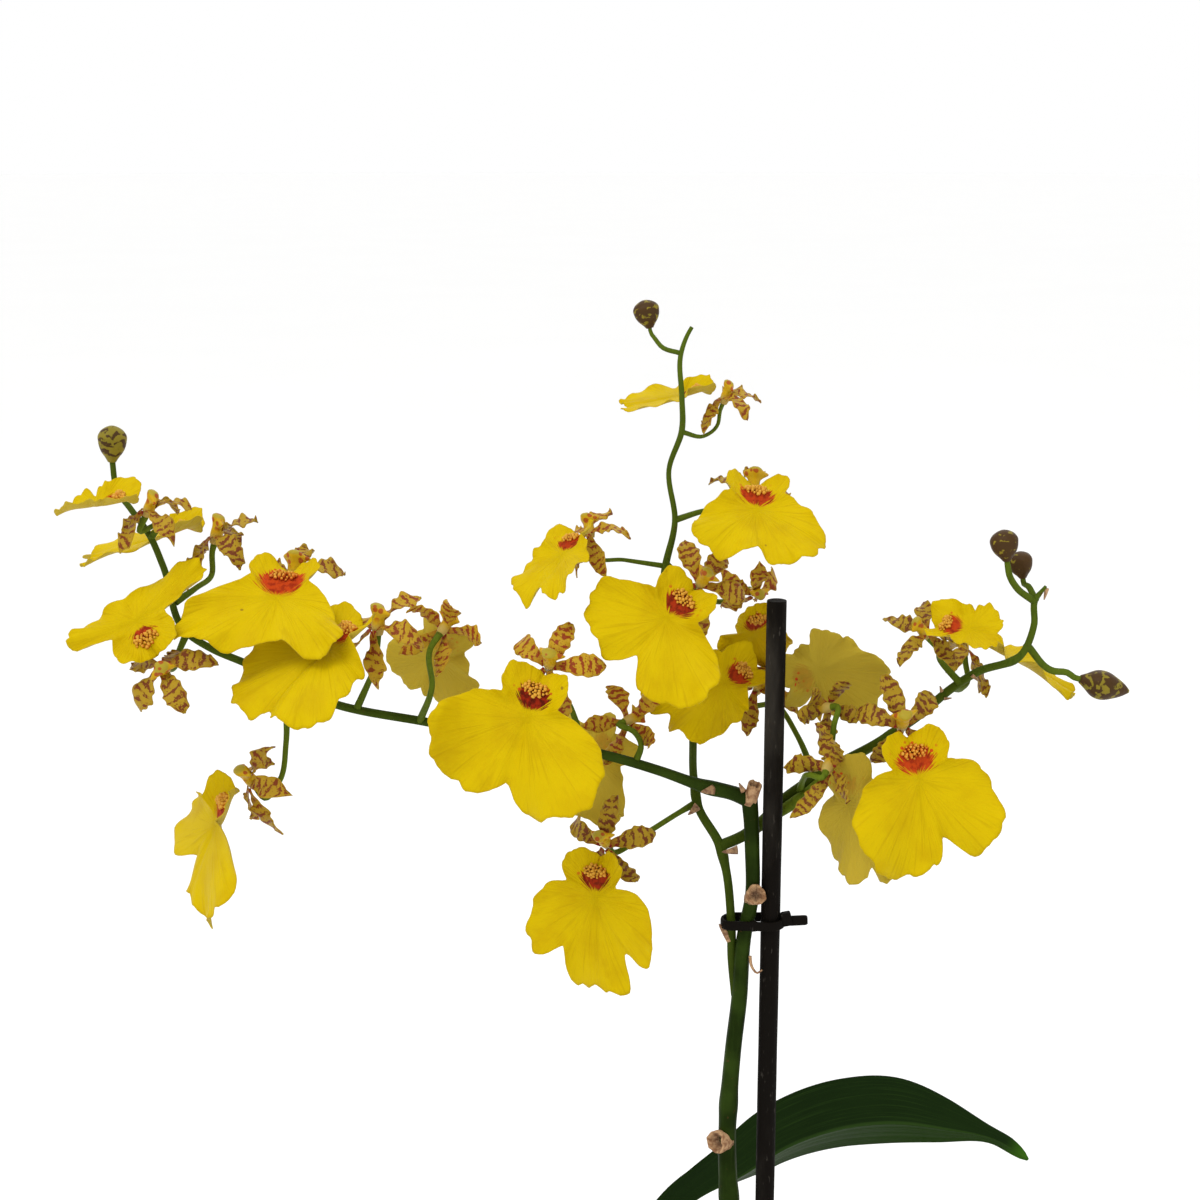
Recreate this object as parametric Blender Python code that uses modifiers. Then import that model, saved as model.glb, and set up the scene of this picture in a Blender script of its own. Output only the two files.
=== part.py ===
# A potted oncidium orchid in flower: pot, bark, bulbs, leaves, tied stem, buds and 21 blooms.
# Units are metres, +Z is up, the viewer stands on the -Y side, and the origin is the middle
# of the pot's flat base. Places on the flowering stem are named by where they are seen from
# the viewer's eye, in a picture 1200 units square, and by their depth along Y.
from math import cos, pi, radians, sin, sqrt

import bmesh
import bpy
import numpy as np
from mathutils import Matrix, Vector

MM = 0.001
GAP = 0.3 * MM

# Driving dimensions
POT_HEIGHT = 105 * MM
POT_TOP_RADIUS = 60 * MM
POT_BASE_RADIUS = 44 * MM
POT_WALL = 1.6 * MM
POT_RIM_HEIGHT = 11 * MM
POT_RIM_STEP = 2.2 * MM
DRAIN_RADIUS = 4 * MM
DRAIN_CIRCLE = 27 * MM
BARK_LEVEL = 95 * MM
BARK_RELIEF = 2.0 * MM
HOLE_DEPTH = 14 * MM
STAKE_RADIUS = 2.05 * MM
STAKE_TOP = 405 * MM
STAKE_FOOT = 30 * MM
STAKE_PLACE = (9 * MM, 0.0)
PEDICEL_RADIUS = 0.85 * MM
LIP_THICKNESS = 0.65 * MM
TEPAL_THICKNESS = 0.7 * MM
LEAF_THICKNESS = 1.0 * MM
PICTURE_SIDE = 1200

# The viewer's eye, which places what grows above the pot
EYE = {
    "place": Vector((-27 * MM, -396.6 * MM, 496.6 * MM)),
    "tilt_down": radians(13),
    "focal": 2000.0,
}
RIGHT = Vector((1, 0, 0))
UPWARD = Vector((0, sin(EYE["tilt_down"]), cos(EYE["tilt_down"])))
BACKWARD = Vector((0, -cos(EYE["tilt_down"]), sin(EYE["tilt_down"])))

# Each bloom: where its callus is seen and how deep, how its lip hangs in the picture
# (degrees from straight down towards the left), how far the lip leans towards the viewer,
# and how far the face turns to the flower's right
BLOOMS = {
    "bloom_01": dict(callus=(119, 500), depth=-8, hang=84, lean=5, turn=-66, size=0.85,
                     wide=0.42, long=0.48, lobes=(1.0, 0.65), fold=(60, 60), ruffle=0.4, seed=0.3),
    "bloom_02": dict(callus=(183, 530), depth=14, hang=75, lean=5, turn=-76, size=0.98,
                     wide=0.5, long=0.9, bend=8, ruffle=0.4, approach=1.5, seed=1.1),
    "bloom_03": dict(callus=(147, 640), depth=-16.9, hang=146, lean=-28, turn=-8, size=0.95,
                     long=0.42, lobes=(0.78, 0.95), fold=(5, 5), seed=2.0),
    "bloom_04": dict(callus=(284, 580), depth=-3.2, hang=14, lean=50, turn=-10, size=1.0,
                     lobes=(0.88, 0.92), long=0.78, droop=2.5, notches=((-12, 0.12),), seed=3.1),
    "bloom_05": dict(callus=(348, 632), depth=-12, hang=52, lean=25, turn=-55, size=1.0,
                     fold=(-30, 10), wide=0.8, long=1.12, lobes=(0.85, 1.0), seed=4.0),
    "bloom_06": dict(callus=(442, 640), depth=10, hang=25, lean=-38, turn=172, size=0.85,
                     wide=0.66, long=0.7, seed=5.2),
    "bloom_07": dict(callus=(536, 691), depth=-18, hang=20, lean=5, turn=-12, size=0.98,
                     fold=(8, 25), lobes=(1.05, 1.0), seed=6.1),
    "bloom_08": dict(callus=(608, 742), depth=9, hang=47, lean=-20, turn=160, size=0.85, wide=0.9, long=0.7,
                     hub=(627, 722), approach=1.5, seed=0.9),
    "bloom_09": dict(callus=(226, 803), depth=-4, hang=28, lean=-8, turn=-58, size=0.98,
                     fold=(0, 0), notches=((30, 0.45),), seed=1.7),
    "bloom_10": dict(callus=(597, 872), depth=-8, hang=5, lean=0, turn=-25, size=0.95,
                     notches=((-43, 0.36), (38, 0.42)), long=1.2, wide=0.82, seed=2.8),
    "bloom_11": dict(callus=(683, 600), depth=-12, hang=42, lean=10, turn=-10, size=0.92,
                     notches=((-2, 0.3),), long=0.88, lobes=(0.98, 0.86), seed=3.6),
    "bloom_12": dict(callus=(744, 673), depth=8.5, hang=66, lean=12, turn=-38, size=0.9,
                     lobes=(0.85, 1.0), wide=0.85, hub=(756, 688), hub_depth=13, seed=4.6),
    "bloom_13": dict(callus=(756, 618), depth=14, hang=5, lean=-35, turn=20, size=0.8,
                     wide=0.6, long=0.7, seed=5.7),
    "bloom_14": dict(callus=(799, 681), depth=6, hang=-119, lean=-12, turn=165, size=0.86,
                     wide=0.8, long=0.78, lobes=(1.15, 0.6), hub=(829, 706), hub_depth=0.5,
                     approach=1.5, reach=0.72, seed=0.2),
    "bloom_15": dict(callus=(913, 753), depth=-16, hang=-12, lean=5, turn=8, size=0.97,
                     notches=((-19, 0.36),), wide=0.84, long=1.1, seed=1.4),
    "bloom_16": dict(callus=(842, 780), depth=-6, hang=-22, lean=5, turn=135, size=0.92,
                     wide=0.76, long=1.05, lobes=(0.85, 1.0), hub=(830, 770), hub_depth=-10, approach=1.5,
                     seed=2.5),
    "bloom_17": dict(callus=(947, 626), depth=-6, hang=-84, lean=25, turn=45, size=0.8,
                     fold=(30, 30), lobes=(0.9, 1.0), wide=0.45, long=0.48, ruffle=0.4, seed=3.9),
    "bloom_18": dict(callus=(990, 648), depth=15, hang=-68, lean=5, turn=78, size=0.85,
                     wide=0.6, hub=(967, 650), approach=1.5, seed=4.9),
    "bloom_19": dict(callus=(697, 392), depth=9, hang=80, lean=0, turn=-72, size=0.75,
                     wide=0.6, long=0.85, bend=4, ruffle=0.2, hub=(722, 398), approach=1.5,
                     seed=5.3),
    "bloom_20": dict(callus=(756, 494), depth=-2, hang=3, lean=50, turn=3, size=0.92,
                     long=0.82, lobes=(0.92, 0.9), wide=0.85, droop=2.0, seed=0.6),
    "bloom_21": dict(callus=(572, 541), depth=-2, hang=36, lean=42, turn=-55, size=0.8,
                     wide=0.6, long=0.9, lobes=(0.9, 0.95), hub=(588, 533), seed=1.9),
}

# The lip's outline from its waist: degrees from its tip, and reach in millimetres
LIP_OUTLINE = ((0, 16.5), (20, 19.5), (40, 21), (60, 21), (80, 18), (95, 13), (108, 8.6),
               (118, 6.8), (130, 9), (150, 11.2), (165, 10.6), (180, 9.0))
LIP_ANGLES = (0, 12, 28, 46, 64, 82, 100, 117, 136, 158, 180)
LIP_RINGS = (0.36, 0.7, 1.0)
LIP = dict(waist=5.5, neck=5.5, callus_back=3.0, callus_rise=1.6, callus_reach=2.6,
           ruffle=1.3, waves=7, ears=3.0, claw_dip=1.6, bend=25, notch=((0, 0.12),),
           notch_width=7, fold=(8, 8))

# The tepals: degrees from the top towards the flower's right, length and half width in
# millimetres, first rise, curl back and ripple
TEPALS = dict(
    dorsal=dict(angle=0, length=10.5, half=2.2, rise=30, curl=70, ripple=0.0),
    petal_right=dict(angle=62, length=11.5, half=2.2, rise=20, curl=95, ripple=1.0),
    petal_left=dict(angle=-62, length=11.5, half=2.2, rise=20, curl=95, ripple=2.1),
    sepal_right=dict(angle=140, length=12.0, half=2.0, rise=-30, curl=30, ripple=3.3),
    sepal_left=dict(angle=-140, length=12.0, half=2.0, rise=-30, curl=30, ripple=4.2),
)
TEPAL_STEPS = 3
TEPAL_ROOT = 0.9
COLUMN = dict(length=6.3, radius=1.5, wing=1.7, foot=1.6, sides=5)

# Stems: where each point is seen, its depth and its radius, all but the first in millimetres
STEMS = {
    "main": ((733, 1260, 0, 2.2), (729, 1200, 0, 2.05), (727, 1150, 0, 1.95), (733, 1050, 0, 1.75),
             (739, 1000, 0, 1.7), (744, 936, 0, 1.55), (752, 895, 0, 1.5), (752, 850, 0, 1.55),
             (751, 821, 0, 1.6), (749, 796, 0, 1.75)),
    "left_branch": ((749, 800, 0, 1.7), (738, 795, 0, 1.6), (703, 786, 0, 1.2), (660, 771, 0, 1.15),
                    (609, 756, -0.5, 1.15), (520, 739, 1, 1.1), (426, 722, 2, 1.05),
                    (331, 703, 3, 1.0), (245, 663, 4, 1.0), (210, 648, 3, 1.0), (187, 633, 2, 1.0),
                    (163, 566, 0, 0.95), (151, 538, 0, 0.95), (130, 508, 3, 0.9),
                    (117, 490, 6, 0.8), (112, 466, 6, 0.75)),
    "second": ((736, 995, 0.6, 1.1), (732, 957, 1.4, 1.0), (731, 920, 0.8, 0.95), (726, 870, 4, 1.05),
               (720, 846, 5, 1.2), (698, 806, 8, 1.2), (694, 780, 12, 1.15), (693, 737, 22.5, 1.1),
               (690, 650, 22.5, 1.1), (665, 571, 7, 1.1), (675, 520, 4, 1.0), (669, 470, 4, 1.0),
               (682, 430, 2, 1.0), (682, 397, -1, 0.95), (681, 354, 0, 0.9), (688, 334, 0, 0.6),
               (692, 326, 0, 0.45)),
    "right_branch": ((720, 846, 5, 1.2), (743, 836, 6.5, 1.2), (762, 823, 9, 1.4), (782, 803, 10, 1.5),
                     (815, 778, 9, 1.4), (879, 742, 6, 1.1), (918, 716, 4, 1.05),
                     (952, 688, 3, 1.05), (977, 672, 1, 1.0), (1021, 655, -1, 1.0),
                     (1034, 625, -1, 0.95), (1036, 598, 0, 0.9), (1041, 592, 0, 0.7),
                     (1046, 586, 0, 0.4)),
}

# The buds: stalk points, then the bud's foot and tip, and its length and girth in millimetres
BUDS = {
    "bud_a": dict(stalk=(), tip=(112, 430), depth=6, length=7.4, radius=3.1, foot=(112, 462)),
    "bud_b": dict(stalk=((680, 353, 0), (662, 347, 2), (653, 336, 3)), tip=(645, 305), depth=3,
                  length=5.6, radius=2.5, foot=(650, 328)),
    "bud_c": dict(stalk=((1035, 602, 0), (1016, 587, -2), (1009, 574, -3)), tip=(1003, 530),
                  depth=-3, length=6.4, radius=2.8, foot=(1007, 561)),
    "bud_d": dict(stalk=((1036, 601, 0), (1028, 586, 3)), tip=(1019, 551), depth=5, length=5.6,
                  radius=2.7, foot=(1023, 578)),
    "bud_e": dict(stalk=((1026, 644, -1), (1053, 671, 0), (1068, 673, 0)), tip=(1131, 692),
                  depth=0, length=10.5, radius=3.3, foot=(1080, 679)),
}

# Pedicels: the points between the branch and the back of each bloom
PEDICELS = {
    "bloom_01": ((151, 538, 0), (160, 523, -2)),
    "bloom_02": ((176, 602, 1), (196, 588, 6), (212, 574, 12)),
    "bloom_03": ((187, 633, 2), (178, 654, -3), (174, 668, -9)),
    "bloom_04": ((303, 690, 4), (301, 640, 9)),
    "bloom_05": ((357, 708, 2), (372, 674, 2)),
    "bloom_06": ((420, 721, 2), (432, 686, -6)),
    "bloom_07": ((585, 751, 0), (572, 710, 1)),
    "bloom_08": ((635, 763, 0), (641, 745, 0), (633, 731, 2.5)),
    "bloom_09": ((285, 683, 3), (286, 744, 3), (280, 780, 2)),
    "bloom_10": ((694, 804, 9), (680, 812, 6), (648, 832, 2)),
    "bloom_11": ((684, 632, 19), (705, 618, 9)),
    "bloom_12": ((815, 778, 9), (797, 735, 17), (778, 706, 21)),
    "bloom_13": ((668, 566, 7), (700, 596, 14), (730, 600, 22)),
    "bloom_14": ((829, 770, 8), (830, 755, -1.5), (832, 744, -4.2), (834, 725, -4.8)),
    "bloom_15": ((884, 739, 6), (893, 748, 0)),
    "bloom_16": ((800, 790, 9), (803, 780, 0), (811, 775, -9)),
    "bloom_17": ((960, 683, 2), (940, 660, 2)),
    "bloom_18": ((952, 688, 3), (962, 688, 10), (968, 678, 15)),
    "bloom_19": ((682, 432, 2), (704, 436, 6), (718, 424, 9)),
    "bloom_20": ((675, 520, 4), (710, 510, 9)),
    "bloom_21": ((665, 566, 7), (625, 560, 6)),
}

# Cut stubs and papery bracts on the stem: two ends of each, seen places, depth and radii
STUBS = {
    "top_stub": ((745, 808, -0.5), (754, 785, -1.5), 1.6, 1.9),
    "side_stub": ((751, 900, -0.5), (757, 893, -3.2), 1.7, 2.2),
    "low_stub": ((727, 1140, -0.5), (716, 1143, -2.6), 1.8, 2.1),
    "branch_bract": ((706, 787, 0), (716, 791, -2.2), 0.7, 1.5),
    "fork_bract": ((724, 848, 4), (727, 856, 2.6), 0.8, 1.3),
    "node_bract": ((698, 804, 8), (690, 814, 6.4), 0.8, 1.3),
}

# The tie in millimetres: circles it goes round (x, y, radius), its level and size, and the
# middle and sides of its knot and tail
TIE = dict(stake=(9, 0, 2.4), stems=(1.3, 0.4, 2.1), level=335.2, wide=2.0, thick=0.8,
           knot=((12.3, -0.6, 336.4), (2.4, 2.2, 2.8)),
           tail=((14.4, -0.8, 336.0), (4.4, 0.9, 1.7)))

# The bulbs: foot, half widths and height in millimetres, and the turn of the flat faces
BULBS = {
    "pseudobulb_a": dict(place=(-22, 6), half=(8, 12), height=68, turn=20),
    "pseudobulb_b": dict(place=(6, 24), half=(12, 8), height=74, turn=10),
    "pseudobulb_c": dict(place=(-8, -24), half=(11, 7), height=56, turn=-15),
}
BULB_PROFILE = ((0.0, 0.80), (0.12, 0.90), (0.3, 1.0), (0.5, 0.92), (0.7, 0.70), (0.87, 0.46),
                (1.0, 0.34))

# The leaves: points of the midrib, and half widths along it, in millimetres for the seen leaf and
# as shares of the half width for the others
LEAF_A_SEEN = ((700, 1196, 26), (738, 1177, 30), (788, 1146, 35), (839, 1128, 40),
               (890, 1122, 44), (945, 1128, 47), (1000, 1141, 49), (1028, 1160, 50))
LEAF_A_WIDTHS = ((0, 3.1), (0.3, 8.2), (0.45, 10.4), (0.58, 11), (0.68, 10.4), (0.78, 6.8), (0.87, 2.4),
                 (0.93, 2.0), (1, 1.1))
LEAF_WIDTHS = ((0, 0.28), (0.2, 0.64), (0.4, 1), (0.5, 1), (0.6, 0.96), (0.7, 0.89), (0.8, 0.78),
               (0.9, 0.6), (0.96, 0.42), (1, 0.19))
LEAVES = {
    "leaf_b": dict(foot="pseudobulb_b", side=3.5, heading=22, length=168, rise=66, half=12),
    "leaf_c": dict(foot="pseudobulb_b", side=-3.5, heading=148, length=165, rise=74, half=12.5),
    "leaf_d": dict(foot="pseudobulb_c", side=0, heading=318, length=165, rise=70, half=11),
    "leaf_e": dict(foot="pseudobulb_a", side=3, heading=250, length=160, rise=66, half=11),
}


def start():
    for thing in list(bpy.data.objects):
        bpy.data.objects.remove(thing, do_unlink=True)
    made = {}
    for label in ("oncidium_orchid", "cutters"):
        made[label] = bpy.data.collections.new(label)
        bpy.context.scene.collection.children.link(made[label])
    return made


def material(name, colour, roughness, metallic=0.0):
    made = bpy.data.materials.new(name)
    made.use_nodes = True
    shader = made.node_tree.nodes["Principled BSDF"]
    shader.inputs["Base Color"].default_value = (*colour, 1)
    shader.inputs["Roughness"].default_value = roughness
    shader.inputs["Metallic"].default_value = metallic
    return made


def add(name, mesh, where, finish=None, smooth=True):
    thing = bpy.data.objects.new(name, mesh)
    where.objects.link(thing)
    if finish:
        mesh.materials.append(finish)
    if smooth:
        mesh.shade_smooth()
    return thing


def seen(across, down, depth):
    """The point seen at (across, down) in the picture, at a depth in millimetres."""
    half = PICTURE_SIDE / 2
    ray = -BACKWARD + (across - half) / EYE["focal"] * RIGHT - (down - half) / EYE["focal"] * UPWARD
    far = (depth * MM - EYE["place"].y) / ray.y
    return EYE["place"] + far * ray


def flower_axes(bloom):
    """Unit vectors to the flower's right, down its lip and out of its face."""
    hang, lean, turn = (radians(bloom[key]) for key in ("hang", "lean", "turn"))
    down = Vector((0, -cos(lean), sin(lean)))
    face = Vector((sin(turn), cos(turn) * sin(lean), cos(turn) * cos(lean)))
    spun = []
    for v in (down, face):
        x = v.x * cos(hang) + v.y * sin(hang)
        y = -v.x * sin(hang) + v.y * cos(hang)
        spun.append(x * RIGHT + y * UPWARD + v.z * BACKWARD)
    return spun[1].cross(-spun[0]), spun[0], spun[1]


def flower_places(bloom):
    """Axes, the middle of the callus, the lip's waist and the hub behind it."""
    across, down, face = flower_axes(bloom)
    size = bloom["size"] * MM
    callus = seen(*bloom["callus"], bloom["depth"])
    waist = callus + size * LIP["waist"] * down
    hub = callus - size * (LIP["neck"] * down + LIP["callus_back"] * face)
    if "hub" in bloom:
        hub = seen(*bloom["hub"], bloom.get("hub_depth", hub.y / MM))
    return across, down, face, callus, waist, hub, size


def lip_surface(angle, ring, bloom):
    """Right, down and front of the lip's surface: a disc about the waist whose reach follows the
    outline, with notches and waves at the rim, ears and callus raised, halves folded, tip bent."""
    edges = np.array([a for a, reach in LIP_OUTLINE], float)
    reaches = np.array([reach for a, reach in LIP_OUTLINE], float)
    turn = np.abs(angle)
    reach = np.interp(turn, edges, reaches)
    blade = np.clip((118 - turn) / 30, 0, 1)
    left, right = bloom.get("lobes", (1, 1))
    lobe = np.where(angle < 0, left, right)
    reach = reach * (1 + (lobe - 1) * blade * np.clip(turn / 30, 0, 1))
    for place, depth in bloom.get("notches", LIP["notch"]):
        reach = reach * (1 - depth * np.exp(-0.5 * ((angle - place) / LIP["notch_width"]) ** 2))
    around = np.radians(angle)
    x = ring * reach * np.sin(around) * (1 + (bloom.get("wide", 1) - 1) * blade)
    y = ring * reach * np.cos(around) * (1 + (bloom.get("long", 1) - 1) * blade)
    y = y + bloom.get("droop", 0) * (x / 10) ** 2 * blade
    soft = np.clip((np.cos(around) + 0.5) / 0.5, 0, 1)
    soft = soft * soft * (3 - 2 * soft)
    z = bloom.get("ruffle", LIP["ruffle"]) * soft * ring**3 * np.sin(LIP["waves"] * around + bloom["seed"])
    ear = np.clip(np.abs(x) / 5, 0, 1)
    z = z + (1 - soft) * ring**2 * (LIP["ears"] * ear - LIP["claw_dip"] * (1 - ear))
    from_callus = np.hypot(x, y + LIP["waist"]) / LIP["callus_reach"]
    z = z + LIP["callus_rise"] * np.exp(-(from_callus**2))
    left, right = bloom.get("fold", LIP["fold"])
    off = np.sqrt(x * x + 2.25) - 1.5
    fold = np.radians(np.where(x > 0, right, left)) * soft * np.clip(off / 12, 0, 1.3)
    z = z + off * np.sin(fold)
    x = np.sign(x) * (np.abs(x) - off + off * np.cos(fold))
    bend = radians(bloom.get("bend", LIP["bend"])) / 20
    ahead = np.maximum(y, 0)
    z = z - (1 - np.cos(bend * ahead)) / bend
    y = np.where(y > 0, np.sin(bend * ahead) / bend, y)
    return x, y, z


def make_lip(name, bloom, where, finish):
    """One closed blade: rings of points about the waist, split into triangles, then a wall."""
    across, down, face, callus, waist, hub, size = flower_places(bloom)
    angles = [-a for a in reversed(LIP_ANGLES[1:])] + list(LIP_ANGLES[:-1])
    bm = bmesh.new()
    rings = []
    for ring in (0.0, *LIP_RINGS):
        x, y, z = lip_surface(np.array(angles, float), ring, bloom)
        spots = zip(x.tolist(), y.tolist(), z.tolist())
        places = [waist + size * (a * across + b * down + c * face) for a, b, c in spots]
        if ring == 0:
            rings.append([bm.verts.new(places[0])] * len(angles))
        else:
            rings.append([bm.verts.new(place) for place in places])
    count = len(angles)
    for inner, outer in zip(rings, rings[1:]):
        for i in range(count):
            j = (i + 1) % count
            bm.faces.new([v for v in dict.fromkeys((inner[i], outer[i], outer[j], inner[j]))])
    bmesh.ops.triangulate(bm, faces=bm.faces[:])
    bmesh.ops.recalc_face_normals(bm, faces=bm.faces[:])
    if sum((f.normal * f.calc_area() for f in bm.faces), Vector()).dot(face) < 0:
        bmesh.ops.reverse_faces(bm, faces=bm.faces[:])
    mesh = bpy.data.meshes.new(name)
    bm.to_mesh(mesh)
    bm.free()
    thing = add(name, mesh, where, finish)
    wall = thing.modifiers.new("wall", "SOLIDIFY")
    wall.thickness = LIP_THICKNESS
    wall.offset = -1
    return thing


def tepal_mesh(name, tepal, bloom):
    """A narrow curled blade from the hub: its middle is an arc, and its edges ripple."""
    across, down, face, callus, waist, hub, size = flower_places(bloom)
    vary = bloom["seed"] * 2 + tepal["ripple"]
    turn = radians(tepal["angle"] + 7 * sin(3 * vary))
    length = tepal["length"] * bloom.get("reach", 1) * (1 + 0.08 * sin(5 * vary))
    rise = radians(tepal["rise"] + 8 * sin(4 * vary))
    curl = radians(tepal["curl"] * (1 + 0.2 * sin(2 * vary)))
    outward = sin(turn) * across - cos(turn) * down
    sideways = cos(turn) * across + sin(turn) * down
    bm = bmesh.new()
    rows = []
    for step in range(TEPAL_STEPS + 1):
        s = step / TEPAL_STEPS
        slope = rise - curl * s
        out = TEPAL_ROOT + length * (sin(rise) - sin(slope)) / curl
        lift = length * (cos(slope) - cos(rise)) / curl
        half = tepal["half"] * (0.3 + 1.4 * s if s < 0.5 else sqrt(1.06 - ((s - 0.5) / 0.52) ** 2))
        row = []
        for side in (-1, 1):
            ripple = 0.9 * side * sin(2 * pi * 1.3 * s + vary) * min(3 * s, 1)
            spot = out * outward + (lift + ripple) * face + side * half * sideways
            row.append(bm.verts.new(hub + size * spot))
        rows.append(row)
    for low, high in zip(rows, rows[1:]):
        bm.faces.new((low[0], low[1], high[1], high[0]))
    bmesh.ops.triangulate(bm, faces=bm.faces[:])
    mesh = bpy.data.meshes.new(name)
    bm.to_mesh(mesh)
    bm.free()
    return mesh


def column_axis(down, face):
    """The column leans back from the lip as it stands out of the flower."""
    return (0.87 * face - 0.5 * down).normalized()


def column_mesh(name, bloom):
    """The column and the ovary's end: a short rounded rod, winged near its tip."""
    across, down, face, callus, waist, hub, size = flower_places(bloom)
    along = column_axis(down, face)
    other = across.cross(along)
    bm = bmesh.new()
    rings = []
    for s, width, wing in ((0, 1.0, 1), (0.3, 1.2, 1), (0.72, 1, COLUMN["wing"]), (1, 0.7, 1)):
        middle = hub - size * COLUMN["foot"] * face + size * (COLUMN["length"] + 0.9) * s * along
        ring = []
        for i in range(COLUMN["sides"]):
            a = 2 * pi * (i + 0.5) / COLUMN["sides"]
            reach = size * COLUMN["radius"] * width
            ring.append(bm.verts.new(middle + reach * (cos(a) * wing * across + sin(a) * other)))
        rings.append(ring)
    for low, high in zip(rings, rings[1:]):
        for i in range(COLUMN["sides"]):
            j = (i + 1) % COLUMN["sides"]
            bm.faces.new((low[i], low[j], high[j], high[i]))
    bm.faces.new(rings[0])
    bm.faces.new(rings[-1])
    bmesh.ops.triangulate(bm, faces=bm.faces[:])
    bmesh.ops.recalc_face_normals(bm, faces=bm.faces[:])
    mesh = bpy.data.meshes.new(name)
    bm.to_mesh(mesh)
    bm.free()
    return mesh


def solid_of(thing):
    """The object's mesh with its modifiers, welded, and the object removed."""
    graph = bpy.context.evaluated_depsgraph_get()
    mesh = bpy.data.meshes.new_from_object(thing.evaluated_get(graph))
    mesh.transform(thing.matrix_world)
    bm = bmesh.new()
    bm.from_mesh(mesh)
    bmesh.ops.remove_doubles(bm, verts=bm.verts[:], dist=1e-7)
    bmesh.ops.recalc_face_normals(bm, faces=bm.faces[:])
    bm.to_mesh(mesh)
    bm.free()
    bpy.data.objects.remove(thing, do_unlink=True)
    return mesh


def union(name, meshes, where, finish):
    """Joins the meshes in one closed solid."""
    group = bpy.data.collections.new(name + "_pieces")
    bpy.context.scene.collection.children.link(group)
    first = add(name + "_first", meshes[0], where)
    for number, mesh in enumerate(meshes[1:]):
        add(f"{name}_piece_{number}", mesh, group)
    join = first.modifiers.new("join", "BOOLEAN")
    join.operation = "UNION"
    join.operand_type = "COLLECTION"
    join.collection = group
    graph = bpy.context.evaluated_depsgraph_get()
    mesh = bpy.data.meshes.new_from_object(first.evaluated_get(graph))
    for thing in [first, *group.objects]:
        bpy.data.objects.remove(thing, do_unlink=True)
    bpy.data.collections.remove(group)
    mesh.name = name
    mesh.materials.clear()
    bm = bmesh.new()
    bm.from_mesh(mesh)
    bmesh.ops.triangulate(bm, faces=bm.faces[:])
    bm.to_mesh(mesh)
    bm.free()
    return add(name, mesh, where, finish)


def make_petals(name, bloom, where, finish):
    """Five tepals and the column, joined."""
    meshes = [column_mesh(name + "_column", bloom)]
    for label, tepal in TEPALS.items():
        blade = add(name + label, tepal_mesh(name + label, tepal, bloom), where)
        wall = blade.modifiers.new("wall", "SOLIDIFY")
        wall.thickness = TEPAL_THICKNESS
        wall.offset = 0
        meshes.append(solid_of(blade))
    return union(name, meshes, where, finish)


def tube(points, radii, where, sides=6):
    """A closed tapering tube along the points: a curve with a round bevel, made a mesh."""
    curve = bpy.data.curves.new("tube", "CURVE")
    curve.dimensions = "3D"
    curve.bevel_depth = 1.0
    curve.bevel_resolution = (sides - 4) // 2
    curve.use_fill_caps = True
    line = curve.splines.new("POLY")
    line.points.add(len(points) - 1)
    for spot, place, radius in zip(line.points, points, radii):
        spot.co = (*place, 1)
        spot.radius = radius
    thing = bpy.data.objects.new("tube", curve)
    where.objects.link(thing)
    return solid_of(thing)


def rounded(points, radii, steps):
    """Points of a smooth path through the given ones (Catmull-Rom), with radii between."""
    spots = [Vector(p) for p in points]
    spots = [2 * spots[0] - spots[1], *spots, 2 * spots[-1] - spots[-2]]
    path, girth = [], []
    for i in range(1, len(spots) - 2):
        a, b, c, d = spots[i - 1:i + 3]
        for step in range(steps):
            t = step / steps
            path.append(0.5 * (2 * b + (c - a) * t + (2 * a - 5 * b + 4 * c - d) * t**2
                               + (3 * b - a - 3 * c + d) * t**3))
            girth.append(radii[i - 1] * (1 - t) + radii[i] * t)
    return [*path, spots[-2]], [*girth, radii[-1]]


def make_flower_stem(where, finish):
    """The scape, its branches, stubs and bracts, and the stalk of every bloom and bud."""
    meshes = []
    for label, row in STEMS.items():
        points = [seen(u, v, depth) for u, v, depth, radius in row]
        radii = [radius * MM for u, v, depth, radius in row]
        if label == "main":
            foot = Vector((points[0].x + 1 * MM, points[0].y, BARK_LEVEL - HOLE_DEPTH + GAP))
            middle = (points[0] + foot) / 2 + Vector((1 * MM, 0, 0))
            points = [foot, middle, *points]
            radii = [2.6 * MM, 2.4 * MM, *radii]
        meshes.append(tube(points, radii, where, 8 if label == "main" else 6))
    for name, bloom in BLOOMS.items():
        across, down, face, callus, waist, hub, size = flower_places(bloom)
        row = [seen(*spot) for spot in PEDICELS[name]]
        along = column_axis(down, face)
        end = hub - size * COLUMN["foot"] * face - GAP * along
        approach = end - bloom.get("approach", 3.5) * MM * along
        radii = [PEDICEL_RADIUS * 1.15] + [PEDICEL_RADIUS] * (len(row) + 1)
        meshes.append(tube([*row, approach, end], radii, where))
    for bud in BUDS.values():
        foot, tip = bud_ends(bud)
        if not bud["stalk"]:
            continue
        row = [seen(*spot) for spot in bud["stalk"]]
        ahead = (tip - foot).normalized()
        end = foot - GAP * ahead
        row = [*row, end - 1.2 * MM * ahead, end]
        meshes.append(tube(row, [PEDICEL_RADIUS] * len(row), where))
    for low, high, thin, thick in STUBS.values():
        meshes.append(tube([seen(*low), seen(*high)], [thin * MM, thick * MM], where, 8))
    return union("flower_stem", meshes, where, finish)


def bud_ends(bud):
    foot = seen(*bud["foot"], bud["depth"])
    ahead = (seen(*bud["tip"], bud["depth"]) - foot).normalized()
    return foot, foot + bud["length"] * MM * ahead


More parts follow.
